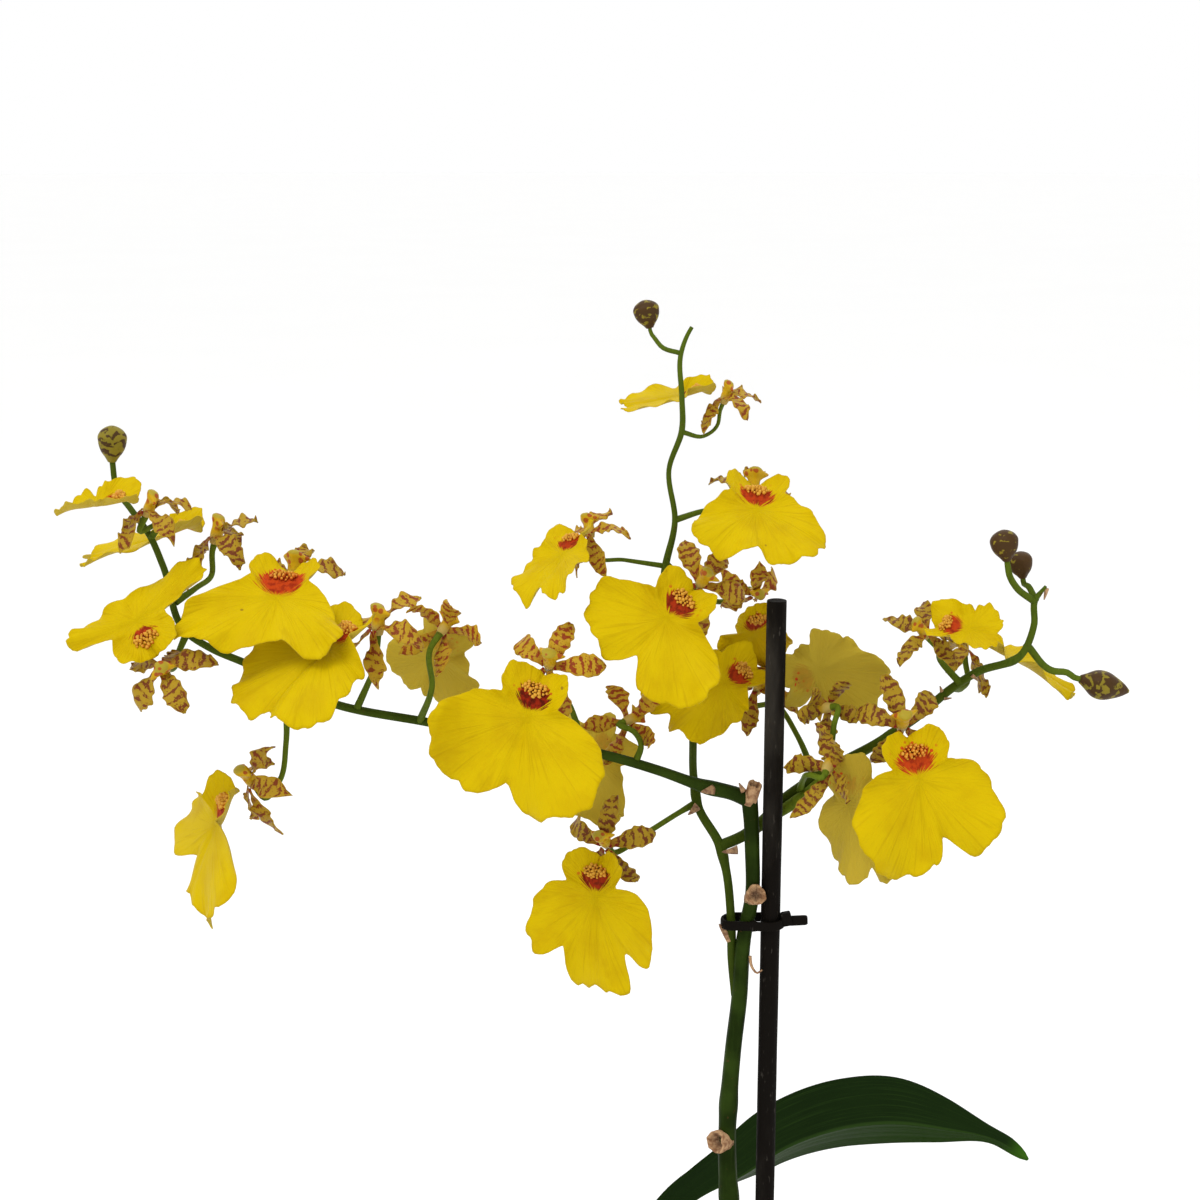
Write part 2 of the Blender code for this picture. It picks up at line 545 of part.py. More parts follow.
def make_bud(name, bud, where, finish):
    """A pointed egg with three folded-sepal ridges, its rings widening and closing along it."""
    foot, tip = bud_ends(bud)
    turn = (tip - foot).to_track_quat("Z", "Y").to_matrix()
    bm = bmesh.new()
    rings = []
    for s, width in ((0, 0.34), (0.2, 0.66), (0.45, 0.94), (0.72, 1.0), (0.92, 0.66), (1.0, 0.3)):
        ring = []
        for i in range(9):
            a = 2 * pi * i / 9
            reach = bud["radius"] * MM * width * (1 + 0.06 * cos(3 * a) * sin(pi * s))
            spot = Vector((reach * cos(a), reach * sin(a), s * bud["length"] * MM))
            ring.append(bm.verts.new(foot + turn @ spot))
        rings.append(ring)
    for low, high in zip(rings, rings[1:]):
        for i in range(9):
            bm.faces.new((low[i], low[(i + 1) % 9], high[(i + 1) % 9], high[i]))
    bm.faces.new(list(reversed(rings[0])))
    bm.faces.new(rings[-1])
    mesh = bpy.data.meshes.new(name)
    bm.to_mesh(mesh)
    bm.free()
    return add(name, mesh, where, finish)


def turned(name, profile, steps, where, finish):
    """A profile of (radius, height), outer side first and downward, turned about Z."""
    bm = bmesh.new()
    verts = [bm.verts.new((radius, 0, height)) for radius, height in profile]
    for low, high in zip(verts, verts[1:]):
        bm.edges.new((low, high))
    mesh = bpy.data.meshes.new(name)
    bm.to_mesh(mesh)
    bm.free()
    thing = add(name, mesh, where, finish)
    screw = thing.modifiers.new("turn", "SCREW")
    screw.steps = steps
    screw.render_steps = steps
    screw.use_merge_vertices = True
    screw.merge_threshold = 1e-5
    return thing


def cutter(name, mesh, cutters):
    thing = add(name, mesh, cutters)
    thing.hide_render = True
    thing.display_type = "WIRE"
    return thing


def cut(thing, tool):
    hole = thing.modifiers.new(tool.name, "BOOLEAN")
    hole.operation = "DIFFERENCE"
    hole.object = tool


def prism(name, place, half, turn, low, high, cutters, sides=12):
    """An upright elliptical cutter."""
    bm = bmesh.new()
    bmesh.ops.create_cone(bm, cap_ends=True, segments=sides, radius1=1, radius2=1, depth=1)
    scale = Matrix.Diagonal((half[0], half[1], high - low, 1))
    move = Matrix.Translation((place[0], place[1], (low + high) / 2))
    bmesh.ops.transform(bm, matrix=move @ Matrix.Rotation(turn, 4, "Z") @ scale, verts=bm.verts[:])
    mesh = bpy.data.meshes.new(name)
    bm.to_mesh(mesh)
    bm.free()
    return cutter(name, mesh, cutters)


def make_pot(where, cutters, finish):
    wall, step = POT_WALL, POT_RIM_STEP
    under_rim = POT_HEIGHT - POT_RIM_HEIGHT
    slope = (POT_TOP_RADIUS - step - POT_BASE_RADIUS) / under_rim
    side = POT_BASE_RADIUS + slope * under_rim
    profile = (
        (POT_TOP_RADIUS - wall, POT_HEIGHT),
        (POT_TOP_RADIUS, POT_HEIGHT),
        (POT_TOP_RADIUS - 0.4 * MM, under_rim),
        (side, under_rim),
        (POT_BASE_RADIUS, 0),
        (0, 0),
        (0, wall),
        (POT_BASE_RADIUS - wall, wall),
        (side - wall, under_rim - wall),
        (POT_TOP_RADIUS - wall, POT_HEIGHT),
    )
    pot = turned("pot", profile, 28, where, finish)
    for number in range(4):
        a = pi / 4 + number * pi / 2
        spot = (DRAIN_CIRCLE * cos(a), DRAIN_CIRCLE * sin(a))
        hole = prism(f"drain_{number}", spot, (DRAIN_RADIUS, DRAIN_RADIUS), 0,
                     -5 * MM, 6 * MM, cutters, 12)
        cut(pot, hole)
    return pot


def pot_inside(height):
    """The pot's inner radius at a height."""
    under_rim = POT_HEIGHT - POT_RIM_HEIGHT
    side = POT_TOP_RADIUS - POT_RIM_STEP
    if height <= under_rim - POT_WALL:
        share = (height - POT_WALL) / (under_rim - 2 * POT_WALL)
        return POT_BASE_RADIUS - POT_WALL + share * (side - POT_BASE_RADIUS)
    share = (height - under_rim + POT_WALL) / (POT_RIM_HEIGHT + POT_WALL)
    return side - POT_WALL + share * POT_RIM_STEP


def make_bark(where, cutters, finish):
    """The bark mix: a frustum that fills the pot, its top raised in chunks, with plain holes."""
    around = 20
    floor = POT_WALL + GAP
    rim = BARK_LEVEL - 3 * MM
    bm = bmesh.new()
    rings = []
    for share in (0.2, 0.4, 0.6, 0.8):
        ring = []
        for i in range(around):
            a = 2 * pi * (i + 0.5 * (round(share * 5) % 2)) / around
            lump = sin(5 * a + 9 * share) * cos(3 * a - 14 * share) + 0.5 * sin(11 * a + 20 * share)
            reach = share * pot_inside(rim)
            height = BARK_LEVEL + BARK_RELIEF * lump * 0.6
            ring.append(bm.verts.new((reach * cos(a), reach * sin(a), height)))
        rings.append(ring)
    for height in (rim, floor):
        reach = pot_inside(height) - 0.5 * MM
        rings.append([bm.verts.new((reach * cos(2 * pi * i / around),
                                    reach * sin(2 * pi * i / around), height))
                      for i in range(around)])
    top = bm.verts.new((0, 0, BARK_LEVEL))
    for i in range(around):
        bm.faces.new((top, rings[0][i], rings[0][(i + 1) % around]))
    for inner, outer in zip(rings, rings[1:]):
        for i in range(around):
            j = (i + 1) % around
            bm.faces.new((inner[i], outer[i], outer[j], inner[j]))
    bm.faces.new(rings[-1])
    bmesh.ops.triangulate(bm, faces=bm.faces[:])
    bmesh.ops.recalc_face_normals(bm, faces=bm.faces[:])
    mesh = bpy.data.meshes.new("bark_mix")
    bm.to_mesh(mesh)
    bm.free()
    bark = add("bark_mix", mesh, where, finish, smooth=False)
    floor_of_hole = BARK_LEVEL - HOLE_DEPTH
    above = BARK_LEVEL + 20 * MM
    for name, bulb in BULBS.items():
        half = [(side + 0.8) * MM for side in bulb["half"]]
        place = [side * MM for side in bulb["place"]]
        cut(bark, prism(name + "_hole", place, half, radians(bulb["turn"]), floor_of_hole,
                        above, cutters))
    foot = seen(*STEMS["main"][0][:3])
    cut(bark, prism("stem_hole", (foot.x + 1 * MM, foot.y), (3.2 * MM, 3.2 * MM), 0,
                    floor_of_hole, above, cutters, 12))
    reach = STAKE_RADIUS + GAP
    cut(bark, prism("stake_hole", STAKE_PLACE, (reach, reach), 0, STAKE_FOOT - GAP, above,
                    cutters, 12))
    return bark


def make_bulb(name, bulb, where, finish):
    """A flattened tapering bulb: elliptical rings, with ribs, up to a blunt top."""
    foot = BARK_LEVEL - HOLE_DEPTH + GAP
    turn = radians(bulb["turn"])
    bm = bmesh.new()
    rings = []
    for share, width in BULB_PROFILE:
        ring = []
        for i in range(16):
            a = 2 * pi * i / 16
            rib = 1 - 0.04 * (i % 2)
            x = bulb["half"][0] * MM * width * rib * cos(a)
            y = bulb["half"][1] * MM * width * rib * sin(a)
            ring.append(bm.verts.new((bulb["place"][0] * MM + x * cos(turn) - y * sin(turn),
                                      bulb["place"][1] * MM + x * sin(turn) + y * cos(turn),
                                      foot + bulb["height"] * MM * share)))
        rings.append(ring)
    for low, high in zip(rings, rings[1:]):
        for i in range(16):
            j = (i + 1) % 16
            bm.faces.new((low[i], low[j], high[j], high[i]))
    bm.faces.new(list(reversed(rings[0])))
    bm.faces.new(rings[-1])
    mesh = bpy.data.meshes.new(name)
    bm.to_mesh(mesh)
    bm.free()
    return add(name, mesh, where, finish)


def bulb_top(name, side):
    bulb = BULBS[name]
    height = BARK_LEVEL - HOLE_DEPTH + GAP + bulb["height"] * MM
    return Vector((bulb["place"][0] * MM + side * MM, bulb["place"][1] * MM, height + GAP))


def make_leaf(name, points, widths, roll, fold, where, finish):
    """A strap leaf: the midrib is a smooth path, and each half a folded strip of its width."""
    path, share = rounded(points, [i / (len(points) - 1) for i in range(len(points))], 2)
    bm = bmesh.new()
    rows = []
    for i, (spot, s) in enumerate(zip(path, share)):
        ahead = (path[min(i + 1, len(path) - 1)] - path[max(i - 1, 0)]).normalized()
        level = ahead.cross(Vector((0, 0, 1)))
        level = level.normalized() if level.length > 0.05 else Vector((0, -1, 0))
        over = level.cross(ahead)
        turn = radians(roll(s))
        side = cos(turn) * level + sin(turn) * over
        front = ahead.cross(side)
        front = -front if front.dot(over * cos(turn) - level * sin(turn)) < 0 else front
        width = float(np.interp(s, *zip(*widths))) * MM
        crease = radians(fold(s))
        row = [spot + width * w * (cos(crease) * side * sign + sin(crease) * front)
               for sign, w in ((-1, 1), (1, 0), (1, 1))]
        rows.append([bm.verts.new(place) for place in row])
    for low, high in zip(rows, rows[1:]):
        for k in range(2):
            bm.faces.new((low[k], low[k + 1], high[k + 1], high[k]))
    bmesh.ops.triangulate(bm, faces=bm.faces[:])
    mesh = bpy.data.meshes.new(name)
    bm.to_mesh(mesh)
    bm.free()
    thing = add(name, mesh, where, finish)
    wall = thing.modifiers.new("wall", "SOLIDIFY")
    wall.thickness = LEAF_THICKNESS
    wall.offset = 0
    return thing


def arching(leaf):
    """The midrib of a leaf that rises from its bulb and arches over."""
    foot = bulb_top(leaf["foot"], leaf["side"])
    heading = radians(leaf["heading"])
    path = [foot]
    slope = radians(80)
    steps = 7
    place = foot
    for step in range(steps):
        stride = leaf["length"] * MM / steps
        out = stride * cos(slope)
        place = place + Vector((out * cos(heading), out * sin(heading), stride * sin(slope)))
        path.append(place)
        slope -= radians((80 + leaf["rise"]) / steps)
    return path


def make_stake(where, finish):
    bm = bmesh.new()
    bmesh.ops.create_cone(bm, cap_ends=True, segments=12, radius1=STAKE_RADIUS,
                          radius2=STAKE_RADIUS, depth=STAKE_TOP - STAKE_FOOT)
    middle = Vector((*STAKE_PLACE, (STAKE_TOP + STAKE_FOOT) / 2))
    bmesh.ops.translate(bm, vec=middle, verts=bm.verts[:])
    mesh = bpy.data.meshes.new("stake")
    bm.to_mesh(mesh)
    bm.free()
    return add("stake", mesh, where, finish)


def make_tie(where, finish):
    """A flat band round the stake and both stems, with its knot and tail: the outline goes round
    two circles, one about the stake and one about the stems."""
    outline = []
    for end, start_angle in (("stake", -pi / 2), ("stems", pi / 2)):
        x, y, radius = (value * MM for value in TIE[end])
        for i in range(8):
            a = start_angle + pi * i / 7
            outline.append((x + radius * cos(a), y + radius * sin(a)))
    low = TIE["level"] * MM - TIE["wide"] * MM / 2
    bm = bmesh.new()
    rings = []
    for height in (low, low + TIE["wide"] * MM):
        rings.append([bm.verts.new((x, y, height)) for x, y in outline])
    count = len(outline)
    for i in range(count):
        j = (i + 1) % count
        bm.faces.new((rings[0][i], rings[0][j], rings[1][j], rings[1][i]))
    mesh = bpy.data.meshes.new("band")
    bm.to_mesh(mesh)
    bm.free()
    band = add("band", mesh, where)
    wall = band.modifiers.new("wall", "SOLIDIFY")
    wall.thickness = TIE["thick"] * MM
    wall.offset = 1
    meshes = [solid_of(band)]
    for place, size in (TIE["knot"], TIE["tail"]):
        bm = bmesh.new()
        bmesh.ops.create_cube(bm, size=1)
        bmesh.ops.scale(bm, vec=[side * MM for side in size], verts=bm.verts[:])
        bmesh.ops.translate(bm, vec=[side * MM for side in place], verts=bm.verts[:])
        mesh = bpy.data.meshes.new("knot")
        bm.to_mesh(mesh)
        bm.free()
        meshes.append(mesh)
    return union("tie", meshes, where, finish)


def main():
    made = start()
    where, cutters = made["oncidium_orchid"], made["cutters"]
    yellow = material("petal_yellow", (0.72, 0.50, 0.01), 0.5)
    striped = material("tepal_brown", (0.45, 0.25, 0.05), 0.5)
    green = material("stem_green", (0.05, 0.12, 0.03), 0.45)
    leaf_green = material("leaf_green", (0.03, 0.08, 0.015), 0.4)
    bulb_green = material("bulb_green", (0.12, 0.22, 0.05), 0.45)
    bud_olive = material("bud_olive", (0.25, 0.22, 0.04), 0.5)
    black = material("stake_black", (0.015, 0.014, 0.013), 0.6)
    terracotta = material("pot_plastic", (0.36, 0.14, 0.07), 0.45)
    bark = material("bark_brown", (0.12, 0.06, 0.03), 0.9)
    make_pot(where, cutters, terracotta)
    make_bark(where, cutters, bark)
    make_stake(where, black)
    make_tie(where, black)
    make_flower_stem(where, green)
    for name, bulb in BULBS.items():
        make_bulb(name, bulb, where, bulb_green)
    seen_part = [seen(*spot) for spot in LEAF_A_SEEN]
    foot = bulb_top("pseudobulb_a", -2)
    make_leaf("leaf_a", [foot, foot + Vector((0, 3, 34)) * MM, *seen_part], LEAF_A_WIDTHS,
              lambda s: 30 + 55 * min(1, s / 0.4), lambda s: 40 - 15 * s, where, leaf_green)
    for name, leaf in LEAVES.items():
        widths = [(s, share * leaf["half"]) for s, share in LEAF_WIDTHS]
        make_leaf(name, arching(leaf), widths, lambda s: 10 * sin(5 * s), lambda s: 45 - 30 * s,
                  where, leaf_green)
    for name, bud in BUDS.items():
        make_bud(name, bud, where, bud_olive)
    for name, bloom in BLOOMS.items():
        make_lip(name + "_lip", bloom, where, yellow)
        make_petals(name + "_petals", bloom, where, striped)


main()
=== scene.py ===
import bmesh
import bpy
import numpy as np
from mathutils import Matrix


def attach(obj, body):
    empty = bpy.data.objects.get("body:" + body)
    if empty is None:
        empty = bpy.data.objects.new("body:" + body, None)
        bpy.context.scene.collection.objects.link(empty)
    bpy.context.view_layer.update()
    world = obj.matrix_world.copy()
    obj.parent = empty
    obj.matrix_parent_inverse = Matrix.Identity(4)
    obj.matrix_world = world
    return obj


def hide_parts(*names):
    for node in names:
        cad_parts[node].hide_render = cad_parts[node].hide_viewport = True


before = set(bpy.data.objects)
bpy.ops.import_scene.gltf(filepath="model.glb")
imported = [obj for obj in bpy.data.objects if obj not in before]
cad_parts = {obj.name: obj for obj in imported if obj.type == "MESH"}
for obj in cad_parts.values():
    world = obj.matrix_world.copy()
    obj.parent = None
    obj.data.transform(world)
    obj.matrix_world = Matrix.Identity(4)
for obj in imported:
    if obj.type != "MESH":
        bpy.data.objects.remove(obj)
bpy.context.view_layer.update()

mm = 0.001
barkHoleFloor = 81.3  # millimetres above the pot's foot: where stem and bulbs stand in the bark

# The eye that places on the stem are named by: (across, down) in a picture 1200 units square,
# and depth along Y in millimetres
eye = {"place": np.array([-0.027, -0.3966, 0.4966]), "tiltDown": np.radians(13), "focal": 2000.0,
       "pictureSide": 1200.0}
rightWay = np.array([1.0, 0.0, 0.0])
upWay = np.array([0.0, np.sin(eye["tiltDown"]), np.cos(eye["tiltDown"])])
backWay = np.array([0.0, -np.cos(eye["tiltDown"]), np.sin(eye["tiltDown"])])


def seen(spots):
    # the point on each spot's line of sight whose Y is the spot's depth
    spots = np.atleast_2d(np.array(spots, float))
    across, down = ((spots[:, k] - eye["pictureSide"] / 2) / eye["focal"] for k in (0, 1))
    ray = across[:, None] * rightWay - down[:, None] * upWay - backWay
    far = (spots[:, 2] * mm - eye["place"][1]) / ray[:, 1]
    return eye["place"] + far[:, None] * ray


def xyz(x, y, z):
    # places from three arrays or numbers, spread over one grid
    return np.stack(np.broadcast_arrays(x, y, z), axis=-1)


def unit(vectors):
    # each vector divided by its length
    return vectors / np.linalg.norm(vectors, axis=-1, keepdims=True)


def circle(count):
    # even steps once round, in radians
    return np.linspace(0, 2 * np.pi, count, endpoint=False)


def turned(x, y, angle):
    # x and y turned by the angle, from x towards y
    return x * np.cos(angle) - y * np.sin(angle), x * np.sin(angle) + y * np.cos(angle)


def squared(value, power):
    # the size of a sine or cosine raised to a power below 1, which draws its circle towards a square
    return np.sign(value) * np.abs(value) ** power


def about(middle, x, side, y, up):
    # x along one direction and y along another from each middle
    return middle + x[..., None] * side + y[..., None] * up


def twoSheets(front, half):
    # a grid's rows moved forward by half the thickness, then moved back and read the other way
    return np.concatenate([front + half, (front - half)[:, ::-1]], axis=1)


def smoothValue(at, knots):
    # cubic curve through the knots (place, value), with the slopes of their neighbours
    places, values = np.array(knots, float).T
    slopes = np.gradient(values, places)
    k = np.clip(np.searchsorted(places, at, side="right") - 1, 0, len(places) - 2)
    span = places[k + 1] - places[k]
    t = np.clip((at - places[k]) / span, 0, 1)
    return ((2 * t**3 - 3 * t**2 + 1) * values[k] + (t**3 - 2 * t**2 + t) * slopes[k] * span
            + (3 * t**2 - 2 * t**3) * values[k + 1] + (t**3 - t**2) * slopes[k + 1] * span)


def smoothPath(spots, radii, spacing):
    # cubic curve through the spots by length, read at even steps, with the radius between them
    spots = np.array(spots, float)
    length = np.concatenate([[0], np.cumsum(np.linalg.norm(np.diff(spots, axis=0), axis=1))])
    at = np.linspace(0, length[-1], max(4, int(length[-1] / spacing)))
    path = np.stack([smoothValue(at, np.stack([length, spots[:, k]], axis=1)) for k in range(3)], axis=1)
    return path, np.interp(at, length, radii), at


def gridFaces(rows, columns, loop=False):
    # one face for each square of a grid whose last column meets its first, and on a loop its last
    # row its first
    r, c = np.meshgrid(np.arange(rows if loop else rows - 1), np.arange(columns), indexing="ij")
    r, c = r.ravel(), c.ravel()
    right, here, below = (c + 1) % columns, r * columns, (r + 1) % rows * columns
    return np.stack([here + c, here + right, below + right, below + c], axis=1)


def closedBody(rings, **fields):
    # rings of points one after another, each end drawn together at its middle
    first = np.broadcast_to(rings[0].mean(axis=0), rings[:1].shape)
    last = np.broadcast_to(rings[-1].mean(axis=0), rings[-1:].shape)
    points = np.concatenate([first, rings, last])
    body = {"points": points.reshape(-1, 3), "faces": gridFaces(*points.shape[:2])}
    for name, field in fields.items():
        field = np.broadcast_to(field, rings.shape[:2])
        body[name] = np.concatenate([field[:1], field, field[-1:]]).ravel()
    return body


def loopBody(rings):
    # rings of points one after another, the last joined to the first
    return {"points": rings.reshape(-1, 3), "faces": gridFaces(*rings.shape[:2], loop=True)}


def joined(bodies):
    # the bodies one after another, each one's face numbers moved on by the points before it
    starts = np.cumsum([0] + [len(body["points"]) for body in bodies[:-1]])
    whole = {"points": np.concatenate([body["points"] for body in bodies]),
             "faces": np.concatenate([body["faces"] + start for body, start in zip(bodies, starts)])}
    names = {name for body in bodies for name in body} - {"points", "faces"}
    for name in sorted(names):
        whole[name] = np.concatenate([body.get(name, np.zeros(len(body["points"]))) for body in bodies])
    return whole


def tubeBody(spots, radii, sides, spacing, ribs=0.0, swellings=(), **fields):
    # a ring about each point of a smooth path, square to it and to the path's own plane; five ribs
    # run along it, it swells at some lengths, and each field goes from its first value to its last
    path, girth, at = smoothPath(spots, radii, spacing)
    for place, share, reach in swellings:
        girth = girth * (1 + share * np.exp(-((at - place) / reach) ** 2))
    ahead = unit(np.gradient(path, axis=0))
    flat = np.linalg.svd(path - path.mean(axis=0), full_matrices=False)[2][-1]
    side = unit(np.cross(flat, ahead))
    a = circle(sides)
    reach = girth[:, None] * (1 + ribs * np.cos(5 * a + 3 * at[:, None] / at[-1]))
    rings = about(path[:, None], reach * np.cos(a), side[:, None], reach * np.sin(a),
                  np.cross(ahead, side)[:, None])
    return closedBody(rings, **{name: np.interp(at, [0, at[-1]], ends)[:, None]
                                for name, ends in fields.items()})


def cleanMesh(name, body):
    # the body's points, faces and fields, doubles merged at the poles, faces turned outwards
    mesh = bpy.data.meshes.new(name)
    mesh.from_pydata(body["points"].tolist(), [], body["faces"].tolist())
    for field in sorted(set(body) - {"points", "faces"}):
        layer = mesh.attributes.new(field, "FLOAT", "POINT")
        layer.data.foreach_set("value", body[field].astype(np.float32))
    bm = bmesh.new()
    bm.from_mesh(mesh)
    bmesh.ops.remove_doubles(bm, verts=bm.verts[:], dist=1e-6)
    bmesh.ops.recalc_face_normals(bm, faces=bm.faces[:])
    bm.to_mesh(mesh)
    bm.free()
    return mesh


def addObject(name, data):
    thing = bpy.data.objects.new(name, data)
    bpy.context.scene.collection.objects.link(thing)
    return thing


def putPiece(name, body, material, replaced=(), sharp=None):
    # one mesh object at the origin, smooth but for edges sharper than the angle given
    mesh = cleanMesh(name, body)
    mesh.shade_smooth()
    if sharp:
        mesh.set_sharp_from_angle(angle=np.radians(sharp))
    mesh.materials.append(material)
    piece = addObject(name, mesh)
    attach(piece, "root")
    if replaced:
        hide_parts(*replaced)
    return piece


# Materials: a wire is a node's output, and sums of wires and numbers add the nodes for them

class Wire:
    def __init__(self, socket):
        self.socket = socket
        self.tree = socket.id_data

    def __add__(self, other):
        return addNode(self.tree, "Math", (self, other), operation="ADD")

    def __mul__(self, other):
        return addNode(self.tree, "Math", (self, other), operation="MULTIPLY")

    def __sub__(self, other):
        return addNode(self.tree, "Math", (self, other), operation="SUBTRACT")

    def __rsub__(self, other):
        return addNode(self.tree, "Math", (other, self), operation="SUBTRACT")

    def sine(self):
        return addNode(self.tree, "Math", (self,), operation="SINE")

    def size(self):
        return addNode(self.tree, "Math", (self,), operation="ABSOLUTE")

    def larger(self, other):
        return addNode(self.tree, "Math", (self, other), operation="MAXIMUM")

    def step(self, low, high, start=0.0, end=1.0):
        # a smooth step from start to end as the wire goes from low to high
        return addNode(self.tree, "MapRange", (self, low, high, start, end),
                       interpolation_type="SMOOTHSTEP")


def plug(socket, value):
    # a wire is linked, and a number or colour is set
    if isinstance(value, Wire):
        socket.id_data.links.new(value.socket, socket)
    else:
        socket.default_value = (*value, 1) if socket.type == "RGBA" else value


def addNode(tree, kind, values=(), output=0, **settings):
    # the values go to the inputs in their order, or to the inputs that they name
    node = tree.nodes.new("ShaderNode" + kind)
    for name, setting in settings.items():
        setattr(node, name, setting)
    for key, value in values.items() if isinstance(values, dict) else enumerate(values):
        plug(node.inputs[key], value)
    return Wire(node.outputs[output])


def fields(material, *names):
    # the piece's own attributes
    return [addNode(material.node_tree, "Attribute", output="Fac", attribute_name=name) for name in names]


def objectPlace(material):
    return addNode(material.node_tree, "TexCoord", output="Object")


def stretched(place, lengthwise):
    return addNode(place.tree, "Mapping", {"Vector": place, "Scale": (1.0, 1.0, lengthwise)})


def threeWay(x, y, z):
    return addNode(x.tree, "CombineXYZ", (x, y, z))


def noise(place, scale, detail=3.0, distortion=0.0):
    values = {"Vector": place, "Scale": scale, "Detail": detail, "Distortion": distortion}
    return addNode(place.tree, "TexNoise", values, "Fac")


def cells(place, scale):
    return addNode(place.tree, "TexVoronoi", {"Vector": place, "Scale": scale}, "Distance")


def layered(colour, *coats):
    # each coat (share, colour) laid over what is below it
    for share, coat in coats:
        colour = addNode(share.tree, "Mix", {0: share, 6: colour, 7: coat}, 2, data_type="RGBA")
    return colour


def startMaterial(name, roughness, **finish):
    # a shader with what is the same all over set on it; _ stands for the spaces in a socket's name
    material = bpy.data.materials.new(name)
    material.use_nodes = True
    for socket, value in {"Roughness": roughness, **finish}.items():
        plug(material.node_tree.nodes["Principled BSDF"].inputs[socket.replace("_", " ")], value)
    return material


def finishMaterial(material, colour, height=None, strength=0.0, depth=0.0):
    # the colour, and a bump that follows the height
    shader = material.node_tree.nodes["Principled BSDF"]
    plug(shader.inputs["Base Color"], colour)
    if height is not None:
        values = {"Strength": strength, "Distance": depth, "Height": height}
        plug(shader.inputs["Normal"], addNode(material.node_tree, "Bump", values))
    return material


def makeLipMaterial():
    look = {"front": (0.56, 0.40, 0.001), "deep": (0.45, 0.285, 0.001), "back": (0.43, 0.32, 0.035),
            "vein": (0.39, 0.245, 0.001), "vermilion": (0.50, 0.055, 0.008), "red": (0.26, 0.018, 0.005),
            "darkRed": (0.10, 0.009, 0.004), "blemish": (0.20, 0.10, 0.01)}
    material = startMaterial("petalYellow", 0.5, Subsurface_Weight=0.07, Subsurface_Scale=0.0012,
                             Subsurface_Radius=(1.0, 0.7, 0.1), Specular_IOR_Level=0.03)
    down, turn, ring, back = fields(material, "downMm", "turnShare", "ring", "back")
    seed, tone, oval = fields(material, "seed", "mark", "markSpan")
    place = objectPlace(material)
    fine = noise(threeWay(turn * 170.0, ring * 1.4, seed), 1.0, 3.0, 0.25)
    broad = noise(threeWay(turn * 46.0, ring * 2.2, seed), 1.0, 3.0, 0.4)
    veins = fine.step(0.54, 0.70, 0.0, 0.42).larger(broad.step(0.56, 0.72, 0.0, 0.28))
    flecks = cells(place, 150.0).step(0.035, 0.065, 0.7, 0.0) * noise(place, 60.0, 2.0).step(0.52, 0.60)
    # the mark under the callus: an oval whose edge is drawn out in streaks, missing at the back
    ragged = oval + ((fine - 0.5) * 1.3 + (broad - 0.5) * 0.8)
    mark = ragged.step(0.92, 1.08, 1.0, 0.0) * (1.0 - back * 0.75)
    grains = noise(place, 1000.0)
    bright = layered(look["vermilion"], (grains.step(0.45, 0.68, 0.0, 0.8), look["red"]))
    dull = layered(look["red"], (grains.step(0.38, 0.60), look["darkRed"]))
    # freckles on the ears beside the callus
    nearby = oval.step(1.0, 1.8, 1.0, 0.0) * down.step(0.3, 2.0, 1.0, 0.0)
    freckles = cells(place, 640.0).step(0.18, 0.28, 1.0, 0.0) * nearby
    # the outermost rim (ring above 0.94) is painted a deeper yellow: painted shade along the lip's edge
    colour = layered(look["front"], (noise(place, 130.0).step(0.40, 0.80, 0.0, 0.6), look["deep"]),
                     (veins, look["vein"]), (ring.step(0.94, 1.0, 0.0, 0.30), look["deep"]),
                     (back.step(0.3, 0.7, 0.0, 0.85), look["back"]), (flecks, look["blemish"]),
                     (mark, layered(bright, (tone, dull))), (freckles, look["vermilion"]))
    height = fine + broad * 0.7 + noise(place, 2600.0, 2.0) * 0.2
    return finishMaterial(material, colour, height, 0.5, 0.0004)


def makeTepalMaterial():
    look = {"yellow": (0.48, 0.29, 0.016), "olive": (0.31, 0.20, 0.012),
            "orangeBrown": (0.27, 0.045, 0.008), "darkBrown": (0.11, 0.038, 0.010),
            "root": (0.24, 0.012, 0.010)}
    material = startMaterial("tepalStriped", 0.45, Subsurface_Weight=0.05, Subsurface_Scale=0.001,
                             Subsurface_Radius=(1.0, 0.6, 0.2), Specular_IOR_Level=0.1)
    along, across, share, tone, seed = fields(material, "alongMm", "acrossShare", "alongShare", "tone",
                                              "seed")
    place = threeWay(along, across * 1.9, seed)
    broken = noise(place, 1.2, 4.0, 0.8)
    wave = (along * 3.4 + noise(place, 0.5) * 12.0).sine()
    bands = (wave + (broken - 0.5) * 4.6).step(0.0, 0.5)
    gaps = noise(place, 0.8, 2.0).step(0.36, 0.46, 0.15, 1.0)
    dots = cells(place, 1.5).step(0.20, 0.30, 0.85, 0.0) * noise(place, 0.9, 2.0).step(0.46, 0.54)
    bands = (bands * gaps).larger(dots)
    edge = across.size().step(0.78, 0.98, 1.0, 0.2)
    root = (share + (broken - 0.5) * 0.25).step(0.08, 0.26, 0.85, 0.0)
    colour = layered(layered(look["yellow"], (tone, look["olive"])),
                     (bands * edge, layered(look["orangeBrown"], (tone, look["darkBrown"]))),
                     (root * (bands * 0.65 + 0.35), look["root"]))
    lines = noise(threeWay(along * 0.25, across * 9.0, seed), 1.0)
    return finishMaterial(material, colour, lines + bands * 0.3, 0.45, 0.0003)


